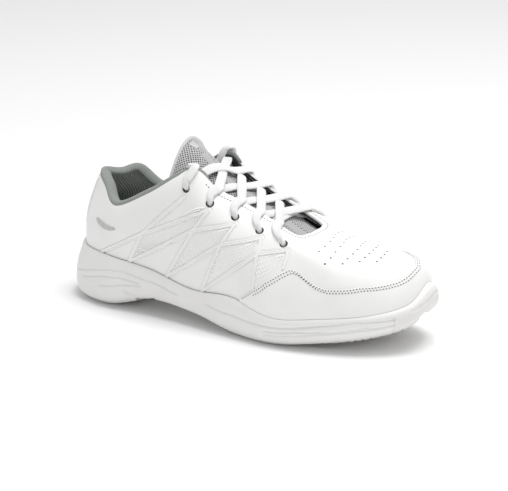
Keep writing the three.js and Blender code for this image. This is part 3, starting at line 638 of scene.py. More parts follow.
def lace_finish():
    """White braided polyester: chevrons along a flat braid."""
    finish = Finish("white_braid", grey(0.93, 0.003), 0.8, Sheen_Weight=0.3)
    u, v = finish.across()
    folded = finish.add("Math", {"operation": "PINGPONG"}, _0=v, _1=0.0018).outputs[0]
    braid = finish.wave(finish.combine("ADD", u, folded), 0.0011)
    finish.paint(finish.ramp(braid, (0.0, grey(0.89, 0.006)), (0.6, grey(0.94, 0.003))))
    finish.relief(braid, 0.00016, 0.8)
    finish.relief(finish.noise(3000, 2), 0.00006, 0.5)
    return finish.material


def thread_finish():
    """Twisted white thread."""
    tones = (0.35, grey(0.72)), (0.65, grey(0.84))
    return mottled("white_thread", 0.6, (900,), tones, (4000, 1), 0.00005, 0.6, grey(0.8))


def hole_shade_finish():
    """Painted shade: dark grey that stands in for the shade inside a needle hole."""
    finish = Finish("painted_hole_shade", grey(0.1), 0.9)
    finish.paint(finish.ramp(finish.noise(2000), (0.3, grey(0.08)), (0.7, grey(0.13))))
    return finish.material


def mark_finish():
    """Soft grey printed film."""
    tones = (0.35, grey(0.5, 0.02)), (0.65, grey(0.56, 0.02))
    return mottled("grey_print", 0.4, (300, 2), tones, (1500,), 0.00004, 0.5, grey(0.52))


def board_finish():
    """Fibre board and stiffeners, which stay hidden."""
    tones = (0.3, (0.55, 0.48, 0.38)), (0.7, (0.68, 0.61, 0.5))
    return mottled("fibre_board", 0.85, (350, 4), tones, (900, 3), 0.0001, 0.6, (0.62, 0.55, 0.44))


def shank_finish():
    """Dark moulded shank, which stays hidden."""
    tones = (0.3, (0.04, 0.042, 0.046)), (0.7, (0.065, 0.067, 0.07))
    return mottled("dark_shank", 0.45, (200,), tones, (1200,), 0.00005, 0.5, (0.05, 0.052, 0.056))


def aglet_finish():
    """Clear film wrapped round the end of the lace."""
    tones = (0.35, grey(0.76)), (0.65, grey(0.84))
    return mottled("aglet_film", 0.2, (700,), tones, (900,), 0.00005, 0.4, grey(0.8))


# ---- Lace ----------------------------------------------------------------------------------

OVER = 1.5                  # offset of the lace's middle line where it lies on a flap
UNDER = -5.0                # and where it lies under one
TONGUE_CLEAR = 1.3          # height of the middle line above the tongue
LIFT_OVER = 1.75            # how much more where it crosses over the other end of the lace
ROUNDNESS = 0.75            # power that squares the lace's oval section a little
LAST = len(EYELETS) - 1


def side_station(side, s):
    """The station s on the outer side (side < 0) or its mirror on the inner side."""
    return s if side < 0 else mirror(s)


def upper_place(side, s, t, offset):
    at = np.array(side_station(side, s), float)
    return raised(upper_point, at, np.array(t, float), offset)


def stop_on_flap(side, k, share, shift, offset, width=LACE_WIDTH):
    """A stop of the lace at eyelet k, a share of the way from it to the throat edge."""
    s, t = EYELETS[k]
    height = t + (1 - t) * share
    point = upper_place(side, s + shift, height, offset)
    ahead = upper_place(side, s + shift - 0.05, height, offset)
    behind = upper_place(side, s + shift + 0.05, height, offset)
    return point, unit(ahead - behind), width


def through_eyelet(side, k):
    """From the face of the flap through eyelet k to its back."""
    return [stop_on_flap(side, k, 0.36, 0, OVER + 0.1, 5.4),
            stop_on_flap(side, k, 0.13, 0, 1, 4),
            stop_on_flap(side, k, 0.04, 0, -1.6, 3.6),
            stop_on_flap(side, k, 0.1, 0, UNDER - 0.3, 3.4),
            stop_on_flap(side, k, 0.32, 0, UNDER - 0.5, 4.4)]


def tongue_height(x, y):
    """Height of the tongue's face above the place (x, y)."""
    u = np.linspace(0, 1, 2001)
    crest = along(TONGUE_X, u) + SHIFT_X
    at = np.interp(-x, -crest, u)
    return float(along(TONGUE_Z, at) + along(TONGUE_TILT, at) * y - along(TONGUE_DROP, at) * y * y)


def over_tongue(start, end, lift):
    """Stops between the two flaps, resting on the tongue and lifted where two laces cross."""
    stops = []
    for w in (0.1, 0.3, 0.5, 0.7, 0.9):
        point = start + (end - start) * w
        slope = (tongue_height(point[0] + 1, point[1]) - tongue_height(point[0] - 1, point[1])) / 2
        clear = TONGUE_CLEAR + lift * (1 - (2 * w - 1) ** 4)
        point[2] = max(point[2], tongue_height(point[0], point[1]) + clear * math.hypot(1, slope))
        stops.append((point, unit(np.array([1, 0, slope])), LACE_WIDTH))
    return stops


def crossing(side, k, lift):
    """From the top of eyelet k, over the tongue, and under the opposite flap above it."""
    start = stop_on_flap(side, k, 1, -0.15, OVER + 0.3)
    end = stop_on_flap(-side, k - 1, 1, -0.12, UNDER - 1.2)
    return [stop_on_flap(side, k, 0.65, -0.06, OVER + 0.2), start,
            *over_tongue(start[0], end[0], lift), end,
            stop_on_flap(-side, k - 1, 0.65, -0.05, UNDER - 0.5)]


# The tucked end: station, t, offset, width, and rise above the upper.
TUCK = [(5.96, 0.88, OVER + 0.3, 6, 0), (5.9, 1, 1.6, 6.5, 1.2), (6.02, 1, -2.2, 6.2, 3.8),
        (6.2, 0.98, -7.1, 6, 0), (6.24, 0.8, -6.4, 6, 0), (6.2, 0.6, -6, 6, 0),
        (6.2, 0.42, -6, 6, 0), (6.15, 0.3, -6, 5, 0)]


def tucked_end(side):
    """From the top eyelet over the collar edge and down inside the shoe."""
    stops = []
    for s, t, offset, width, rise in TUCK:
        point = upper_place(side, s, t, offset) + np.array([0, 0, rise])
        ahead = upper_place(side, s - 0.05, t, offset)
        behind = upper_place(side, s + 0.05, t, offset)
        stops.append((point, unit(ahead - behind), width))
    return stops


def bar():
    """A straight bar joins the two lowest eyelets under the flaps."""
    near, far = ([stop_on_flap(side, LAST, 0.65, 0, UNDER - 0.3),
                  stop_on_flap(side, LAST, 1, 0, UNDER - 0.9)] for side in (-1, 1))
    return [*near, *over_tongue(near[1][0], far[1][0], 0), *far[::-1]]


def lift_of(side, k):
    """The lace from the outer side lies on top, except at the uppermost crossing."""
    return LIFT_OVER if (side < 0) == (k > 1) else 0


def lace_route():
    """All stops of the lace, from one tucked end through the ten eyelets to the other."""
    route = tucked_end(-1)[::-1]
    for k in range(LAST):
        side = -1 if k % 2 == 0 else 1
        route += through_eyelet(side, k)
        route += crossing(-side, k + 1, lift_of(-side, k + 1))[::-1]
    route += through_eyelet(-1, LAST) + bar()
    for k in range(LAST, 0, -1):
        side = 1 if k % 2 == 0 else -1
        route += through_eyelet(side, k)[::-1]
        route += crossing(side, k, lift_of(side, k))
    return route + through_eyelet(1, 0)[::-1] + tucked_end(1)


def centripetal(points, per_span):
    """A centripetal Catmull-Rom curve through the points, with per_span samples a stretch."""
    first = 2 * points[0] - points[1]
    last = 2 * points[-1] - points[-2]
    p = np.concatenate([[first], points, [last]])
    w = np.arange(per_span) / per_span
    found = []
    for i in range(len(points) - 1):
        a, b, c, d = p[i:i + 4]
        t0, t1, t2 = (np.linalg.norm(y - x) ** 0.5 for x, y in ((a, b), (b, c), (c, d)))
        m1 = t1 * ((b - a) / t0 - (c - a) / (t0 + t1) + (c - b) / t1)
        m2 = t1 * ((c - b) / t1 - (d - b) / (t1 + t2) + (d - c) / t2)
        x = w[:, None]
        found.append((2 * x ** 3 - 3 * x * x + 1) * b + (x ** 3 - 2 * x * x + x) * m1
                     + (3 * x * x - 2 * x ** 3) * c + (x ** 3 - x * x) * m2)
    found.append(points[-1:])
    return np.concatenate(found)


def add_lace(material):
    """The flat woven lace as one swept band, ribbed by its braid."""
    route = lace_route()
    stops = np.array([stop[0] for stop in route])
    per_span = 14
    centre = centripetal(stops, per_span)
    at = np.arange(len(centre)) / per_span
    number = np.arange(len(route))
    hint = np.stack([np.interp(at, number, [stop[1][k] for stop in route]) for k in range(3)], -1)
    width = np.interp(at, number, [stop[2] for stop in route])
    tangent = unit(np.gradient(centre, axis=0))
    across = unit(hint - tangent * (hint * tangent).sum(-1, keepdims=True))
    normal = np.cross(tangent, across)
    run = np.concatenate([[0], np.cumsum(np.linalg.norm(np.diff(centre, axis=0), axis=-1))])
    # A narrow stretch is folded, so it is thicker.
    thick = LACE_THICKNESS * (LACE_WIDTH / width) ** 0.6
    sides = 20
    angle = np.arange(sides) * 2 * math.pi / sides
    wide = np.sign(np.cos(angle)) * np.abs(np.cos(angle)) ** ROUNDNESS
    high = np.sign(np.sin(angle)) * np.abs(np.sin(angle)) ** ROUNDNESS
    ribs = 1 + 0.035 * np.sin(run[:, None] * 2 * math.pi / 2.2 + 2 * np.abs(wide) * math.pi)
    points = (centre[:, None] + across[:, None] * (wide * width[:, None] / 2)[..., None]
              + normal[:, None] * (high * ribs * thick[:, None] / 2)[..., None])
    faces = tube_faces(len(centre), sides)
    across_band = wide * LACE_WIDTH / 2 + 10
    uv = np.stack(np.broadcast_arrays(run[:, None], across_band), -1).reshape(-1, 2) * MM
    lace = make("lace_band", points.reshape(-1, 3), faces, material, uv=uv, nodes=["lace"], slot="lace")


# ---- Sole ----------------------------------------------------------------------------------

def ground(s):
    """Height of the sole's underside, which curves up at the toe and under the arch."""
    return np.maximum(0, ring(GROUND_Z, s))


def groove_depth(s, t):
    """Depth of the moulded grooves in the sole wall, the same on both sides."""
    side = np.minimum(s % STATIONS, mirror(s % STATIONS))
    like = sole_wall_point(side, t)
    depth = np.zeros(s.shape)
    for line in GROOVES:
        distance = distance_to_line(sole_wall_point, like, side, t, line)
        depth = np.maximum(depth, np.exp(-(distance / 0.95) ** 2))
    return depth


def add_midsole(material):
    """The foam as one body: rings of points from under the edge up the wall and into the lip."""
    count = 900
    s = ((np.arange(count) + 0.5) * STATIONS / count)[:, None]
    low = 2.3 / (ring(LIP_Z, s) - ring(EDGE_Z, s))
    t = low + (1 - low) * np.linspace(0, 1, 46)[None]
    bead = 0.7 * np.exp(-((1 - t) * (ring(LIP_Z, s) - ring(EDGE_Z, s)) / 2.2 - 0.9) ** 2)
    wall = raised(sole_wall_point, s + 0 * t, t, bead - groove_depth(s + 0 * t, t))
    flat = s[:, 0]
    lip = ring(LIP_Z, flat)
    inset = ring(LIP_INSET, flat)
    columns = [outline_point(flat, 13 + 0 * flat, ground(flat) + 3.2),
               outline_point(flat, ring(EDGE_INSET, flat) + 0.8, ring(EDGE_Z, flat) + 2.3)]
    columns += list(np.moveaxis(wall, 1, 0))
    columns += [outline_point(flat, inset + 0.5, lip + 0.25), outline_point(flat, inset + 1.2, lip + 0.1),
                outline_point(flat, inset + 6.5, lip), outline_point(flat, inset + 6.8, ring(FLOOR_Z, flat))]
    grid = np.stack(columns, 1)
    rows, width = grid.shape[:2]
    half = rows // 2
    ladder = np.arange(half - 1)
    bottom = np.stack([ladder, ladder + 1, rows - ladder - 2, rows - ladder - 1], -1) * width
    top = bottom[:, ::-1] + width - 1
    faces = np.concatenate([grid_faces(rows, width, wrap_rows=True), bottom, top])
    points = grid.reshape(-1, 3)
    make("midsole_foam", points, outward(points, faces), material, nodes=["midsole"], slot="foam")


def tread(x, y):
    """Depth of the tread grooves: waves across the shoe, and rings round the pivot point."""
    wave = np.abs(((x + 2.2 * np.abs(((y / 9) % 2) - 1)) / 5.2) % 1 - 0.5) * 2
    grooves = smooth(wave, 0.62, 0.8)
    radius = np.hypot(x - 52, y + 2)
    rings = smooth(np.abs((radius / 4.4) % 1 - 0.5) * 2, 0.55, 0.75)
    return 1.1 * np.where(radius < 19, rings, grooves)


def add_outsole(name, first, last, node, material):
    """A treaded unit that spans the sole between the stations first and last."""
    s = np.linspace(first, last, int((last - first) * 42))[:, None]
    edge = ring(EDGE_INSET, s) + 1
    w = np.linspace(0, 1, 120)[None]
    start = outline_point(s, edge, ring(EDGE_Z, s))
    end = outline_point(mirror(s), ring(EDGE_INSET, mirror(s)) + 1, ring(EDGE_Z, mirror(s)))
    flat = start + (end - start) * w[..., None]
    span = np.linalg.norm(end - start, axis=-1)
    inside = np.minimum(w, 1 - w) * span
    level = ground(s) * (1 - w) + ground(mirror(s)) * w
    rim = ring(EDGE_Z, s) * (1 - w) + ring(EDGE_Z, mirror(s)) * w
    rise = smooth(inside, 0, 7.5)
    z = rim + (level - rim) * rise
    bottom = flat.copy()
    bottom[..., 2] = z + tread(flat[..., 0], flat[..., 1]) * smooth(inside, 3.0, 4.0)
    top = flat.copy()
    top[..., 2] = z + 1.9 + 0.6 * rise
    points, faces, _ = shell(bottom, top)
    make(name, points, faces, material, nodes=[node], slot="rubber")


def add_toe_bumper(material):
    """A rubber cap round the toe that thins out at its ends and has one moulded line."""
    s = -1.9 + 3.3 * steps(118, 1.0)[:, None]
    t = 0.12 + 0.8 * steps(23, 0.7)[None]
    base = raised(sole_wall_point, s, t, 1.4)
    line = [(-1.9, 0.8), (-0.5, 0.74), (0.3, 0.68), (0.95, 0.78)]
    places = np.broadcast_arrays(s, t)
    distance = distance_to_line(sole_wall_point, sole_wall_point(*places), *places, line)
    groove = 0.7 * np.exp(-(distance / 0.8) ** 2)
    drop = roll_drop(edge_distance(base), 1.1)
    ends = smooth(s, -1.9, -1.2) * (1 - smooth(s, 0.6, 1.4)) * smooth(t, 0.12, 0.5)
    outer = raised(sole_wall_point, s, t, 0.25 + 1.15 * ends - (drop + groove) * ends)
    inner = raised(sole_wall_point, s, t, 0.1)
    points, faces, _ = shell(outer, inner)
    make("toe_bumper_cap", points, faces, material, nodes=["toe_bumper"], slot="rubber")


def add_sockliner(material):
    """Moulded footbed with a raised edge round the heel."""
    s = np.linspace(0.2, 9.8, 240)[:, None]
    w = np.linspace(0, 1, 90)[None]
    inset = ring(LIP_INSET, s) + 10
    start = outline_point(s, inset, ring(FLOOR_Z, s))
    end = outline_point(mirror(s), ring(LIP_INSET, mirror(s)) + 10, ring(FLOOR_Z, mirror(s)))
    flat = start + (end - start) * w[..., None]
    span = np.linalg.norm(end - start, axis=-1)
    inside = np.minimum(w, 1 - w) * span
    heel = smooth(s, 6.5, 8.5)
    cup = 2.2 * heel * (1 - smooth(inside, 0, 11))
    top = flat.copy()
    top[..., 2] += 5.2 + cup - roll_drop(inside, 1.2)
    bottom = flat.copy()
    bottom[..., 2] += 2.1
    points, faces, used = shell(top, bottom)
    uv = np.concatenate([grid_uv(flat), grid_uv(flat)])[used]
    footbed = make("footbed", points, faces, material, body="sockliner", uv=uv,
                   nodes=["sockliner"], slot="mesh")


# ---- Upper ---------------------------------------------------------------------------------

BELOW_EYELET = (0.04, 0.075)    # the strips of an eyelet start here, below its rim


def through(start, middle, end, w):
    """The place at w, from 0 to 1, on the smooth line through three places."""
    return tuple(2 * (w - 0.5) * (w - 1) * a + 4 * w * (1 - w) * b + 2 * w * (w - 0.5) * c
                 for a, b, c in zip(start, middle, end))


def straight(start, end, w):
    """A place on the way between two places that is straight when seen from the side."""
    first = upper_point(np.array(start[0]), np.array(start[1]))
    run = upper_point(np.array(end[0]), np.array(end[1])) - first
    s = start[0] + (end[0] - start[0]) * w
    t = start[1] + (end[1] - start[1]) * w
    for _ in range(5):
        points = upper_point(np.array(s), np.array([t - 0.01, t, t + 0.01])) - first
        off = points[:, 2] * run[0] - points[:, 0] * run[2]
        t -= off[1] * 0.02 / (off[2] - off[0])
    return s, t


def strip_lines():
    """The middle lines of all strips: straight to the crossing, and straight on to the end."""
    lines = []
    for k, crossing_place, end in STRIPS:
        start = (EYELETS[k][0] + BELOW_EYELET[0], EYELETS[k][1] - BELOW_EYELET[1])
        above = [straight(start, crossing_place, w) for w in np.linspace(0, 0.8, 5)]
        below = [straight(crossing_place, end, w) for w in np.linspace(0, 1, 6)]
        lines.append(above + below)
    return lines


def strip_distance(s, t):
    """Distance to the nearest strip of the cage. All the places are on one side of the shoe."""
    inner = s.mean() > STATIONS / 2
    points = upper_point(s, t)
    nearest = np.full(s.shape, FAR)
    for line in strip_lines():
        if inner:
            line = [(mirror(a), b) for a, b in line]
        nearest = np.minimum(nearest, distance_to_line(upper_point, points, s, t, line))
    return np.where(np.minimum(s, mirror(s)) < 2.5, FAR, nearest)


def add_vamp(material):
    """The leather over the toes, up to the seams on both sides, with its rows of holes."""
    v = steps(95, 0.8)[None]
    u = steps(170, 0.9)[:, None]
    edge = seam(v) - 0.0005
    s = -edge + 2 * edge * u
    t = v + 0 * u
    piece = panel("vamp_leather", s, t, 0.0, -LEATHER, 0.35, material, axes=(1,), nodes=["vamp"],
                  slot="leather")
    holes = []
    for start, middle, end, count in PERFORATIONS:
        holes += [through(start, middle, end, w) for w in np.linspace(0, 1, count)]
    punch_holes(piece, holes, PERFORATION_RADIUS, reach=8, sides=12)


def eyelet_places(side):
    return [(side_station(side, s), t) for s, t in EYELETS]


def add_quarter(side, name, material):
    """The leather of one side, with a channel along each strip and five eyelets."""
    v = steps(72, 0.75)[None]
    u = steps(262, 0.75)[:, None]
    front = seam(v) + 0.0005
    s = side_station(side, front + (9.999 - front) * u)
    t = v * panel_top(s)
    distance = strip_distance(s, t)
    channel = 0.55 * np.exp(-((distance - 1.6) / 0.42) ** 2)
    piece = panel(f"quarter_leather_{name}", s, t, -channel, -LEATHER, 0.35, material, axes=(1,),
                  nodes=[f"quarter_{name}"], slot="leather")
    punch_holes(piece, eyelet_places(side), EYELET_RADIUS, 12, 28)


def add_mudguard(material):
    """The leather round the toe, with a peak on each flank."""
    u = steps(330, 0.8)[:, None]
    v = steps(32, 0.8)[None]
    s = -4.75 + 9.5 * u
    stations, tops = np.array(GUARD).T
    t = v * np.interp(s, stations, tops)
    panel("mudguard_leather", s, t, 1.2, 0.25, 0.45, material, nodes=["mudguard"], slot="leather")


def add_heel_tab(material):
    """The upright strip of leather over the seam at the back of the heel."""
    u = steps(15, 0.6)[:, None]
    v = steps(55, 0.8)[None]
    panel("heel_tab_leather", 9.62 + 0.76 * u, 0.015 + 0.9 * v + 0 * u, 0.75, 0.05, 0.4, material,
          nodes=["heel_tab"], slot="leather")


def fill_corners(keep):
    """Fills in cells that touch only at a corner, so that the film stays one clean surface."""
    for _ in range(3):
        a, b = keep[:-1, :-1], keep[1:, 1:]
        c, d = keep[:-1, 1:], keep[1:, :-1]
        crossed = (a & b & ~c & ~d) | (~a & ~b & c & d)
        for part in (keep[:-1, :-1], keep[1:, 1:], keep[:-1, 1:], keep[1:, :-1]):
            part |= crossed
    return keep


def add_cage(side, name, material):
    """Welded film strips as one raised surface, with a double ridge along each strip."""
    u = np.linspace(2.75, 8.5, 620)[:, None]
    v = np.linspace(0.0, 0.73, 190)[None]
    s, t = np.broadcast_arrays(side_station(side, u), v)
    distance = strip_distance(s, t)
    height = 0.6 * (1 - smooth(distance, 0.95, 1.3)) - 0.3 * (1 - smooth(distance, 0.15, 0.6))
    height = height - 0.9 * smooth(distance, 1.1, 1.5)
    near = distance < 1.75
    keep = near[:-1, :-1] | near[1:, 1:] | near[:-1, 1:] | near[1:, :-1]
    outer = raised(upper_point, s, t, height)
    inner = raised(upper_point, s, t, -1.0)
    points, faces, _ = shell(outer, inner, fill_corners(keep))
    make(f"cage_film_{name}", points, faces, material, nodes=[f"cage_{name}"], slot="film", sharp=60)


def dome(centre, normal, radius, height):
    """A small round bump: points and faces of a closed cap."""
    sides = 8
    circle = circle_about(normal, sides)
    rings = [centre + circle * radius - normal * 0.35, centre + circle * radius,
             centre + circle * radius * 0.7 + normal * height * 0.7]
    points = np.concatenate([*rings, [centre + normal * height]])
    faces = []
    for level in range(2):
        base = level * sides
        faces += [[base + k, base + (k + 1) % sides, base + sides + (k + 1) % sides, base + sides + k]
                  for k in range(sides)]
    faces += [[2 * sides + k, 2 * sides + (k + 1) % sides, 3 * sides] for k in range(sides)]
    faces.append(list(range(sides))[::-1])
    return points, faces


DOT_PITCH = 1.75
DOT_RADIUS = 0.7


def add_dots(side, name, material):
    """Raised dots in the fields between the strips, largest towards the top and the bottom."""
    places = []
    for top, back, bottom, front in DOT_FIELDS:
        corners = [np.array(corner) for corner in (top, back, bottom, front)]
        spots = [upper_point(np.array(c[0]), np.array(c[1])) for c in corners]
        down = int(np.linalg.norm(spots[3] - spots[0]) / DOT_PITCH)
        beside = int(np.linalg.norm(spots[1] - spots[0]) / DOT_PITCH)
        for i in range(1, down):
            for j in range(1, beside):
                a, b = i / down, j / beside
                place = (corners[0] * (1 - a) * (1 - b) + corners[3] * a * (1 - b)
                         + corners[2] * a * b + corners[1] * (1 - a) * b)
                faint = math.exp(-((a + b - 1) / 0.3) ** 2)
                places.append((*place, DOT_RADIUS * (1 - 0.45 * faint)))
    s, t, size = np.array(places).T
    s = side_station(side, s)
    clear = strip_distance(s, t) > 2.0
    points = raised(upper_point, s, t, 0.0)
    normals = normal_of(upper_point, s, t)
    parts = [dome(points[k], normals[k], size[k], size[k] * 1.15) for k in np.flatnonzero(clear)]
    points, faces = joined(parts)
    make(f"raised_dots_{name}", points, faces, material, slot="film", sharp=70)


def add_heel_mark(side, name, material):
    """A plain grey oval on the side of the heel."""
    s0, t0, wide, high = 8.22, 0.5, 0.42, 0.065
    angle = np.linspace(0, 2 * math.pi, 73)[:-1][:, None]
    out = np.array([0.0, 0.25, 0.5, 0.75, 0.9, 0.97, 1.0])[None]
    s = side_station(side, s0 + wide * out * np.cos(angle))
    t = t0 + high * out * np.sin(angle)
    top = raised(upper_point, s, t, 0.45 - 0.3 * smooth(out, 0.9, 1.0))
    bottom = raised(upper_point, s, t, -0.3)
    rows, columns = top.shape[:2]
    faces = grid_faces(rows, columns, wrap_rows=True)
    count = rows * columns
    rim = np.arange(rows) * columns + columns - 1
    after = np.roll(rim, -1)
    sides = np.stack([rim, after, after + count, rim + count], -1)
    points = np.concatenate([top.reshape(-1, 3), bottom.reshape(-1, 3)])
    faces = np.concatenate([faces, faces[:, ::-1] + count, sides[:, ::-1]])
    merged, points = merge_centre(points, faces, [0, count], columns)
    make(f"heel_oval_{name}", points, merged, material, nodes=[f"heel_mark_{name}"], slot="mark")


def merge_centre(points, faces, starts, columns):
    """Joins the equal first points of each row of a disc, and gives its faces as lists."""
    target = np.arange(len(points))
    half = len(points) // len(starts)
    for start in starts:
        centre = np.arange(start, start + half, columns)
        target[centre] = start
    faces = target[faces]
    used, faces = np.unique(faces, return_inverse=True)
    faces = faces.reshape(-1, 4)
    points = points[used]
    faces = outward(points, faces)
    clean = [[k for n, k in enumerate(face) if k != face[n - 1]] for face in faces.tolist()]
    return clean, points


# ---- Stitching -----------------------------------------------------------------------------

def resample(line, pitch):
    """Places at an even pitch along a line of (s, t) points on the upper."""
    line = np.array(line, float)
    number = np.arange(len(line))
    fine = np.linspace(0, len(line) - 1, 40 * len(line))
    s = np.interp(fine, number, line[:, 0])
    t = np.interp(fine, number, line[:, 1])
    points = upper_point(s, t)
    run = np.concatenate([[0], np.cumsum(np.linalg.norm(np.diff(points, axis=0), axis=-1))])
    want = np.arange(0, run[-1], pitch)
    return np.interp(want, run, s), np.interp(want, run, t)


def capsule(start, end, normal, radius, sink):
    """A short thread between two needle holes, bowed out of the leather."""
    rows = 7
    sides = 6
    share = np.linspace(0, 1, rows)
    axis = end - start
    bow = np.sin(share * math.pi) * radius * 1.1 - sink
    centre = start + share[:, None] * axis + bow[:, None] * normal
    across = unit(np.cross(axis, normal))
    angle = np.arange(sides) * 2 * math.pi / sides
    size = radius * np.sqrt(np.maximum(0.12, 1 - (2 * share - 1) ** 6))[:, None, None]
    circle = np.cos(angle)[:, None] * across + np.sin(angle)[:, None] * normal
    points = (centre[:, None] + size * circle[None]).reshape(-1, 3)
    return points, tube_faces(rows, sides)


THREAD_RADIUS = 0.24
# Radius of the dark disc of painted shade at each needle hole.
NEEDLE_RADIUS = 0.45


def add_stitching(name, rows, offset, pitch, thread, shaded_hole):
    """Rows of stitches on the upper: bowed threads, with a dark disc of painted shade at each end where the
    needle hole is.
    """
    threads = []
    holes = []
    for line in rows:
        s, t = resample(line, pitch)
        points = raised(upper_point, s, t, offset)
        normals = normal_of(upper_point, s, t)
        for k in range(len(points) - 1):
            gap = (points[k + 1] - points[k]) * 0.17
            start, end = points[k] + gap, points[k + 1] - gap
            threads.append(capsule(start, end, normals[k], THREAD_RADIUS, 0.1))
        # A thin dark disc on the surface at each needle hole: painted shade, since the hole itself is not
        # cut.
        holes += [cylinder(*place, NEEDLE_RADIUS, 0.1, 8) for place in zip(points, normals)]
    points, faces = joined(threads)
    make(f"{name}_thread", points, faces, thread, slot="leather", sharp=60)
    points, faces = joined(holes)
    make(f"{name}_hole_shade_discs", points, faces, shaded_hole, slot="leather")


def lowered(line, distance):
    """A line moved down the upper by a distance in millimetres."""
    moved = []
    for s, t in line:
        tall = np.linalg.norm(upper_point(np.array(s), np.array(min(1, t + 0.02)))
                              - upper_point(np.array(s), np.array(max(0, t - 0.02))))
        moved.append((s, t - distance * 0.04 / tall))
    return moved


def add_all_stitching(thread, shaded_hole):
    """Two rows along the mudguard, one round the throat and two up the heel tab."""
    lowest = 4.7
    guard = [(math.copysign(lowest, s), 0.045) if abs(s) > lowest else (s, t) for s, t in GUARD]
    rows = [lowered(guard, 1.2), lowered(guard, 3.4)[1:-1]]
    add_stitching("mudguard", rows, 1.2, 2.1, thread, shaded_hole)
    throat = [(s, 1.0) for s in np.linspace(-5.4, 5.4, 60)]
    add_stitching("throat", [lowered(throat, 2.1)], 0.0, 2.3, thread, shaded_hole)
    heel = [[(x, t) for t in np.linspace(0.05, 0.86, 12)] for x in (9.68, 10.32)]
    add_stitching("heel_tab", heel, 0.75, 2.3, thread, shaded_hole)


# ---- Collar and linings --------------------------------------------------------------------

def collar_width(s):
    """Thickness of the padded collar at its top edge."""
    return LINING_FACE + LINING + padding(s, np.array(0.95))


def add_collar_edge(material):
    """The knit band that rolls over the collar edge, and runs on a little way down the throat."""
    start = 5.35
    s = np.linspace(start, mirror(start), 460)[:, None]
    share = around_heel(s, 6.0, 6.35)
    ends = around_heel(s, start, start + 0.12)
    width = collar_width(s) * (0.72 + 0.28 * share)
    low = panel_top(s) * share + 0.985 * (1 - share) + 0.004
    base = upper_point(s[:, 0], 1 + 0 * s[:, 0])
    normal = normal_of(upper_point, s[:, 0], 1 + 0 * s[:, 0])
    upward = unit(base - upper_point(s[:, 0], 0.97 + 0 * s[:, 0]))
    rise = (2.4 + 0.3 * share) * ends
    columns = []
    for w in np.linspace(0, 0.92, 5):
        t = low + (1 - low) * w
        columns.append(raised(upper_point, s, t, -0.35 + 0.35 * math.sin(w * math.pi / 2))[:, 0])
    for angle in np.linspace(0, math.pi, 15):
        out = (math.cos(angle) - 1) * width[:, 0] / 2
        columns.append(base + normal * out[:, None] + upward * (rise[:, 0] * math.sin(angle))[:, None])
    for t in (0.97, 0.93, 0.9):
        columns.append(raised(upper_point, s, t + 0 * s, -width)[:, 0])
    columns.append(raised(upper_point, s, 0.9 + 0 * s, -width + 1.2)[:, 0])
    columns.append(raised(upper_point, s, low, -1.6)[:, 0])
    grid = np.stack(columns, 1)
    rows, sides = grid.shape[:2]
    points = grid.reshape(-1, 3)
    faces = tube_faces(rows, sides)
    quads = np.array(faces[:-2])
    if outward(points, quads) is not quads:
        faces = [face[::-1] for face in faces]
    edge = make("collar_band", points, faces, material, uv=grid_uv(grid), nodes=["collar_edge"],
                slot="knit")


def add_collar_lining(material):
    """The padded knit lining inside the collar and the heel, with faint slanting ribs."""
    s = np.linspace(6.23, mirror(6.23), 420)[:, None]
    t = np.linspace(0, 0.955, 120)[None]
    depth = -LINING_FACE - padding(s, t)
    ribs = 0.07 * np.sin((s * 36 + t * 62) * 2 * math.pi / 3.0)
    outer = raised(upper_point, s, t, depth + 0.1)
    inner = raised(upper_point, s, t, depth - LINING + ribs)
    points, faces, used = shell(outer, inner)
    uv = np.concatenate([grid_uv(outer), grid_uv(outer)])[used]
    lining = make("collar_pad_lining", points, faces, material, uv=uv, nodes=["collar_lining"],
                  slot="knit")


def add_front_linings(material):
    """Thin linings behind the vamp and both quarters."""
    v = np.linspace(0, 0.99, 60)[None]
    edge = seam(v) - 0.005
    s = -edge + 2 * edge * np.linspace(0, 1, 120)[:, None]
    layer = (-LINER_DEPTH, -LINER_DEPTH - LINING, 0.2)
    panel("vamp_inner_lining", s, v + 0 * s, *layer, material, nodes=["vamp_lining"], slot="mesh")
    for side, name in ((-1, "lateral"), (1, "medial")):
        front = seam(v) + 0.005
        s = side_station(side, front + (6.2 - front) * np.linspace(0, 1, 140)[:, None])
        piece = panel(f"quarter_inner_lining_{name}", s, v + 0 * s, *layer, material,
                      nodes=[f"quarter_lining_{name}"], slot="mesh")
        punch_holes(piece, eyelet_places(side), EYELET_RADIUS, 14, 20)


# ---- Tongue --------------------------------------------------------------------------------

HOLE_PITCH = 2.15
STRIP_HALF = 4.2            # half width of the ribbed strip down the middle
STRIP_END = (0.84, 0.86)    # where along the tongue it fades out


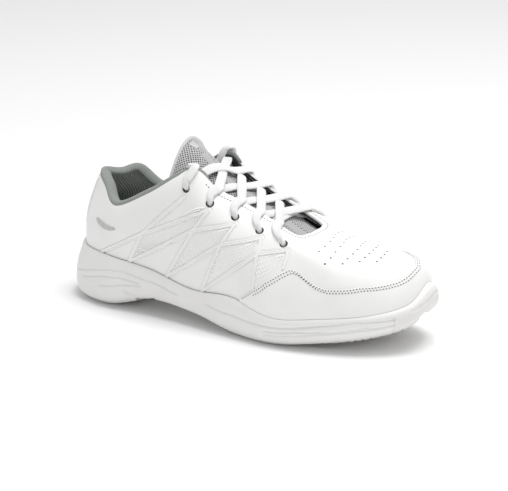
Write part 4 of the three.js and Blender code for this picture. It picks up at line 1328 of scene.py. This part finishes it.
def add_tongue(mesh_material):
    """One padded tongue of spacer mesh with a ribbed strip down its middle.
    """
    u = steps(150, 0.42)[:, None]
    v = steps(49, 0.42)[None]
    u, v = np.broadcast_arrays(u, v)
    base = tongue_at(u, v, 0 * u)
    run = grid_uv(base).reshape(*u.shape, 2) / MM
    x = run[..., 0]
    y = run[..., 1] - run[:, run.shape[1] // 2, 1][:, None]
    edge = edge_distance(base)
    diagonal = HOLE_PITCH * math.sqrt(2) / 1.2
    a = (x + y) / diagonal
    b = (x - y) / diagonal
    radius = np.hypot(a - np.round(a), b - np.round(b)) * HOLE_PITCH
    # The holes are shallow dimples; their near-black colour is painted shade, set through 'dark' below.
    shaded_hole = 1 - smooth(radius, 0.56, 0.86)
    reach = 1 - smooth(u, *STRIP_END)
    strip = (1 - smooth(np.abs(y), STRIP_HALF, STRIP_HALF + 0.6)) * reach
    shaded_hole = shaded_hole * (1 - strip) * smooth(edge, 2.2, 2.8)
    seam_line = np.exp(-((np.abs(y) - STRIP_HALF - 0.4) / 0.5) ** 2) * reach
    ribs = strip * 0.12 * np.sin(x * 2 * math.pi / 1.5)
    thick = 2.4 + 3.1 * smooth(u, 0.76, 0.86)
    crown = 0.5 * smooth(edge, 0, 6) * smooth(u, 0.7, 0.86)
    top = crown - roll_drop(edge, 1.1) - 0.5 * shaded_hole - 0.35 * seam_line + ribs - 0.5
    bottom = -thick + roll_drop(edge, 1.0)
    points, faces, used = shell(tongue_at(u, v, top), tongue_at(u, v, bottom))
    uv = np.concatenate([run.reshape(-1, 2), run.reshape(-1, 2)])[used] * MM
    nodes = ["tongue_lower_face", "tongue_lower_lining", "tongue_upper_face",
             "tongue_upper_padding", "tongue_upper_lining"]
    tongue = make("tongue_spacer_mesh", points, faces, mesh_material, body=None, uv=uv, nodes=nodes,
                  slot="mesh", sharp=75)
    # Painted shade in the holes, and a darker tone on the middle strip and along its seam line.
    dark = np.maximum(shaded_hole, 0.3 * strip + 0.25 * seam_line)
    below = np.full(dark.size, 0.5)
    mark_points(tongue, np.concatenate([dark.ravel(), below])[used])
    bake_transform(tongue)


def add_tab(material):
    """A small plain tab stitched near the top of the tongue."""
    u = 0.9 + 0.05 * steps(8, 0.5)[:, None]
    v = 0.46 + 0.12 * steps(6, 0.5)[None]
    u, v = np.broadcast_arrays(u, v)
    base = tongue_at(u, v, 0.55 + 0 * u)
    drop = roll_drop(edge_distance(base), 0.4)
    points, faces, _ = shell(tongue_at(u, v, 0.55 - drop), tongue_at(u, v, -0.4 + 0 * u))
    make("tongue_label", points, faces, material, body="tongue_end", nodes=["tongue_tab"], slot="film")


# ---- Stage ---------------------------------------------------------------------------------

def add_floor():
    """A plain pale floor."""
    finish = Finish("pale_floor", (0.9, 0.9, 0.9), 0.8)
    mesh = bpy.data.meshes.new("floor")
    mesh.from_pydata([(-6, -6, 0), (6, -6, 0), (6, 6, 0), (-6, 6, 0)], [], [(0, 1, 2, 3)])
    mesh.materials.append(finish.material)
    floor = bpy.data.objects.new("floor", mesh)
    bpy.context.collection.objects.link(floor)


def add_light(name, place, size, power):
    """A round area light that points at the origin."""
    data = bpy.data.lights.new(name, "AREA")
    data.shape = "DISK"
    data.size = size
    data.energy = power
    light = bpy.data.objects.new(name, data)
    light.location = place
    light.rotation_euler = Vector(place).to_track_quat("Z", "Y").to_euler()
    bpy.context.collection.objects.link(light)


def add_lighting():
    """Even white light from all round, and one soft light from above."""
    world = bpy.data.worlds.new("studio")
    world.use_nodes = True
    background = world.node_tree.nodes["Background"]
    background.inputs["Color"].default_value = (1, 1, 1, 1)
    background.inputs["Strength"].default_value = 0.62
    bpy.context.scene.world = world
    add_light("top", (0.35, 0.1, 1.7), 1.1, 22)
    bpy.context.scene.view_settings.view_transform = "Standard"


# ---- Assembly ------------------------------------------------------------------------------

def finish_hidden_nodes():
    """Gives the CAD pieces that stay in the model their materials."""
    looks = {
        board_finish(): ["insole_board", "heel_counter", "toe_puff", "eyestay_lateral", "eyestay_medial"],
        foam_finish(): ["collar_padding"],
        shank_finish(): ["shank"],
        aglet_finish(): ["aglet_lateral", "aglet_medial"],
    }
    for material, names in looks.items():
        for name in names:
            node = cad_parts[name]
            node.data.materials.clear()
            node.data.materials.append(material)


def build():
    add_camera()
    leather = leather_finish()
    film = film_finish()
    foam = foam_finish()
    rubber = rubber_finish()
    thread = thread_finish()
    # Painted shade for the needle holes of the stitching.
    shaded_hole = hole_shade_finish()
    mark = mark_finish()
    lining = lining_finish()
    band = knit_finish("knit_band", (0.19, 0.205, 0.197), (0.37, 0.395, 0.375), 0.0016)
    collar = knit_finish("collar_knit", (0.16, 0.175, 0.167), (0.5, 0.53, 0.505), 0.0022)
    add_lace(lace_finish())
    add_midsole(foam)
    add_outsole("forefoot_tread", 0.2, 5.3, "outsole_forefoot", rubber)
    add_outsole("heel_tread", 7.4, 9.8, "outsole_heel", rubber)
    add_toe_bumper(rubber)
    add_sockliner(lining)
    add_vamp(leather)
    for side, name in ((-1, "lateral"), (1, "medial")):
        add_quarter(side, name, leather)
        add_cage(side, name, film)
        add_dots(side, name, film)
        add_heel_mark(side, name, mark)
    add_mudguard(leather)
    add_heel_tab(leather)
    add_all_stitching(thread, shaded_hole)
    add_collar_edge(band)
    add_collar_lining(collar)
    add_front_linings(lining)
    add_tongue(spacer_finish())
    add_tab(mark)
    finish_hidden_nodes()
    add_floor()
    add_lighting()


build()
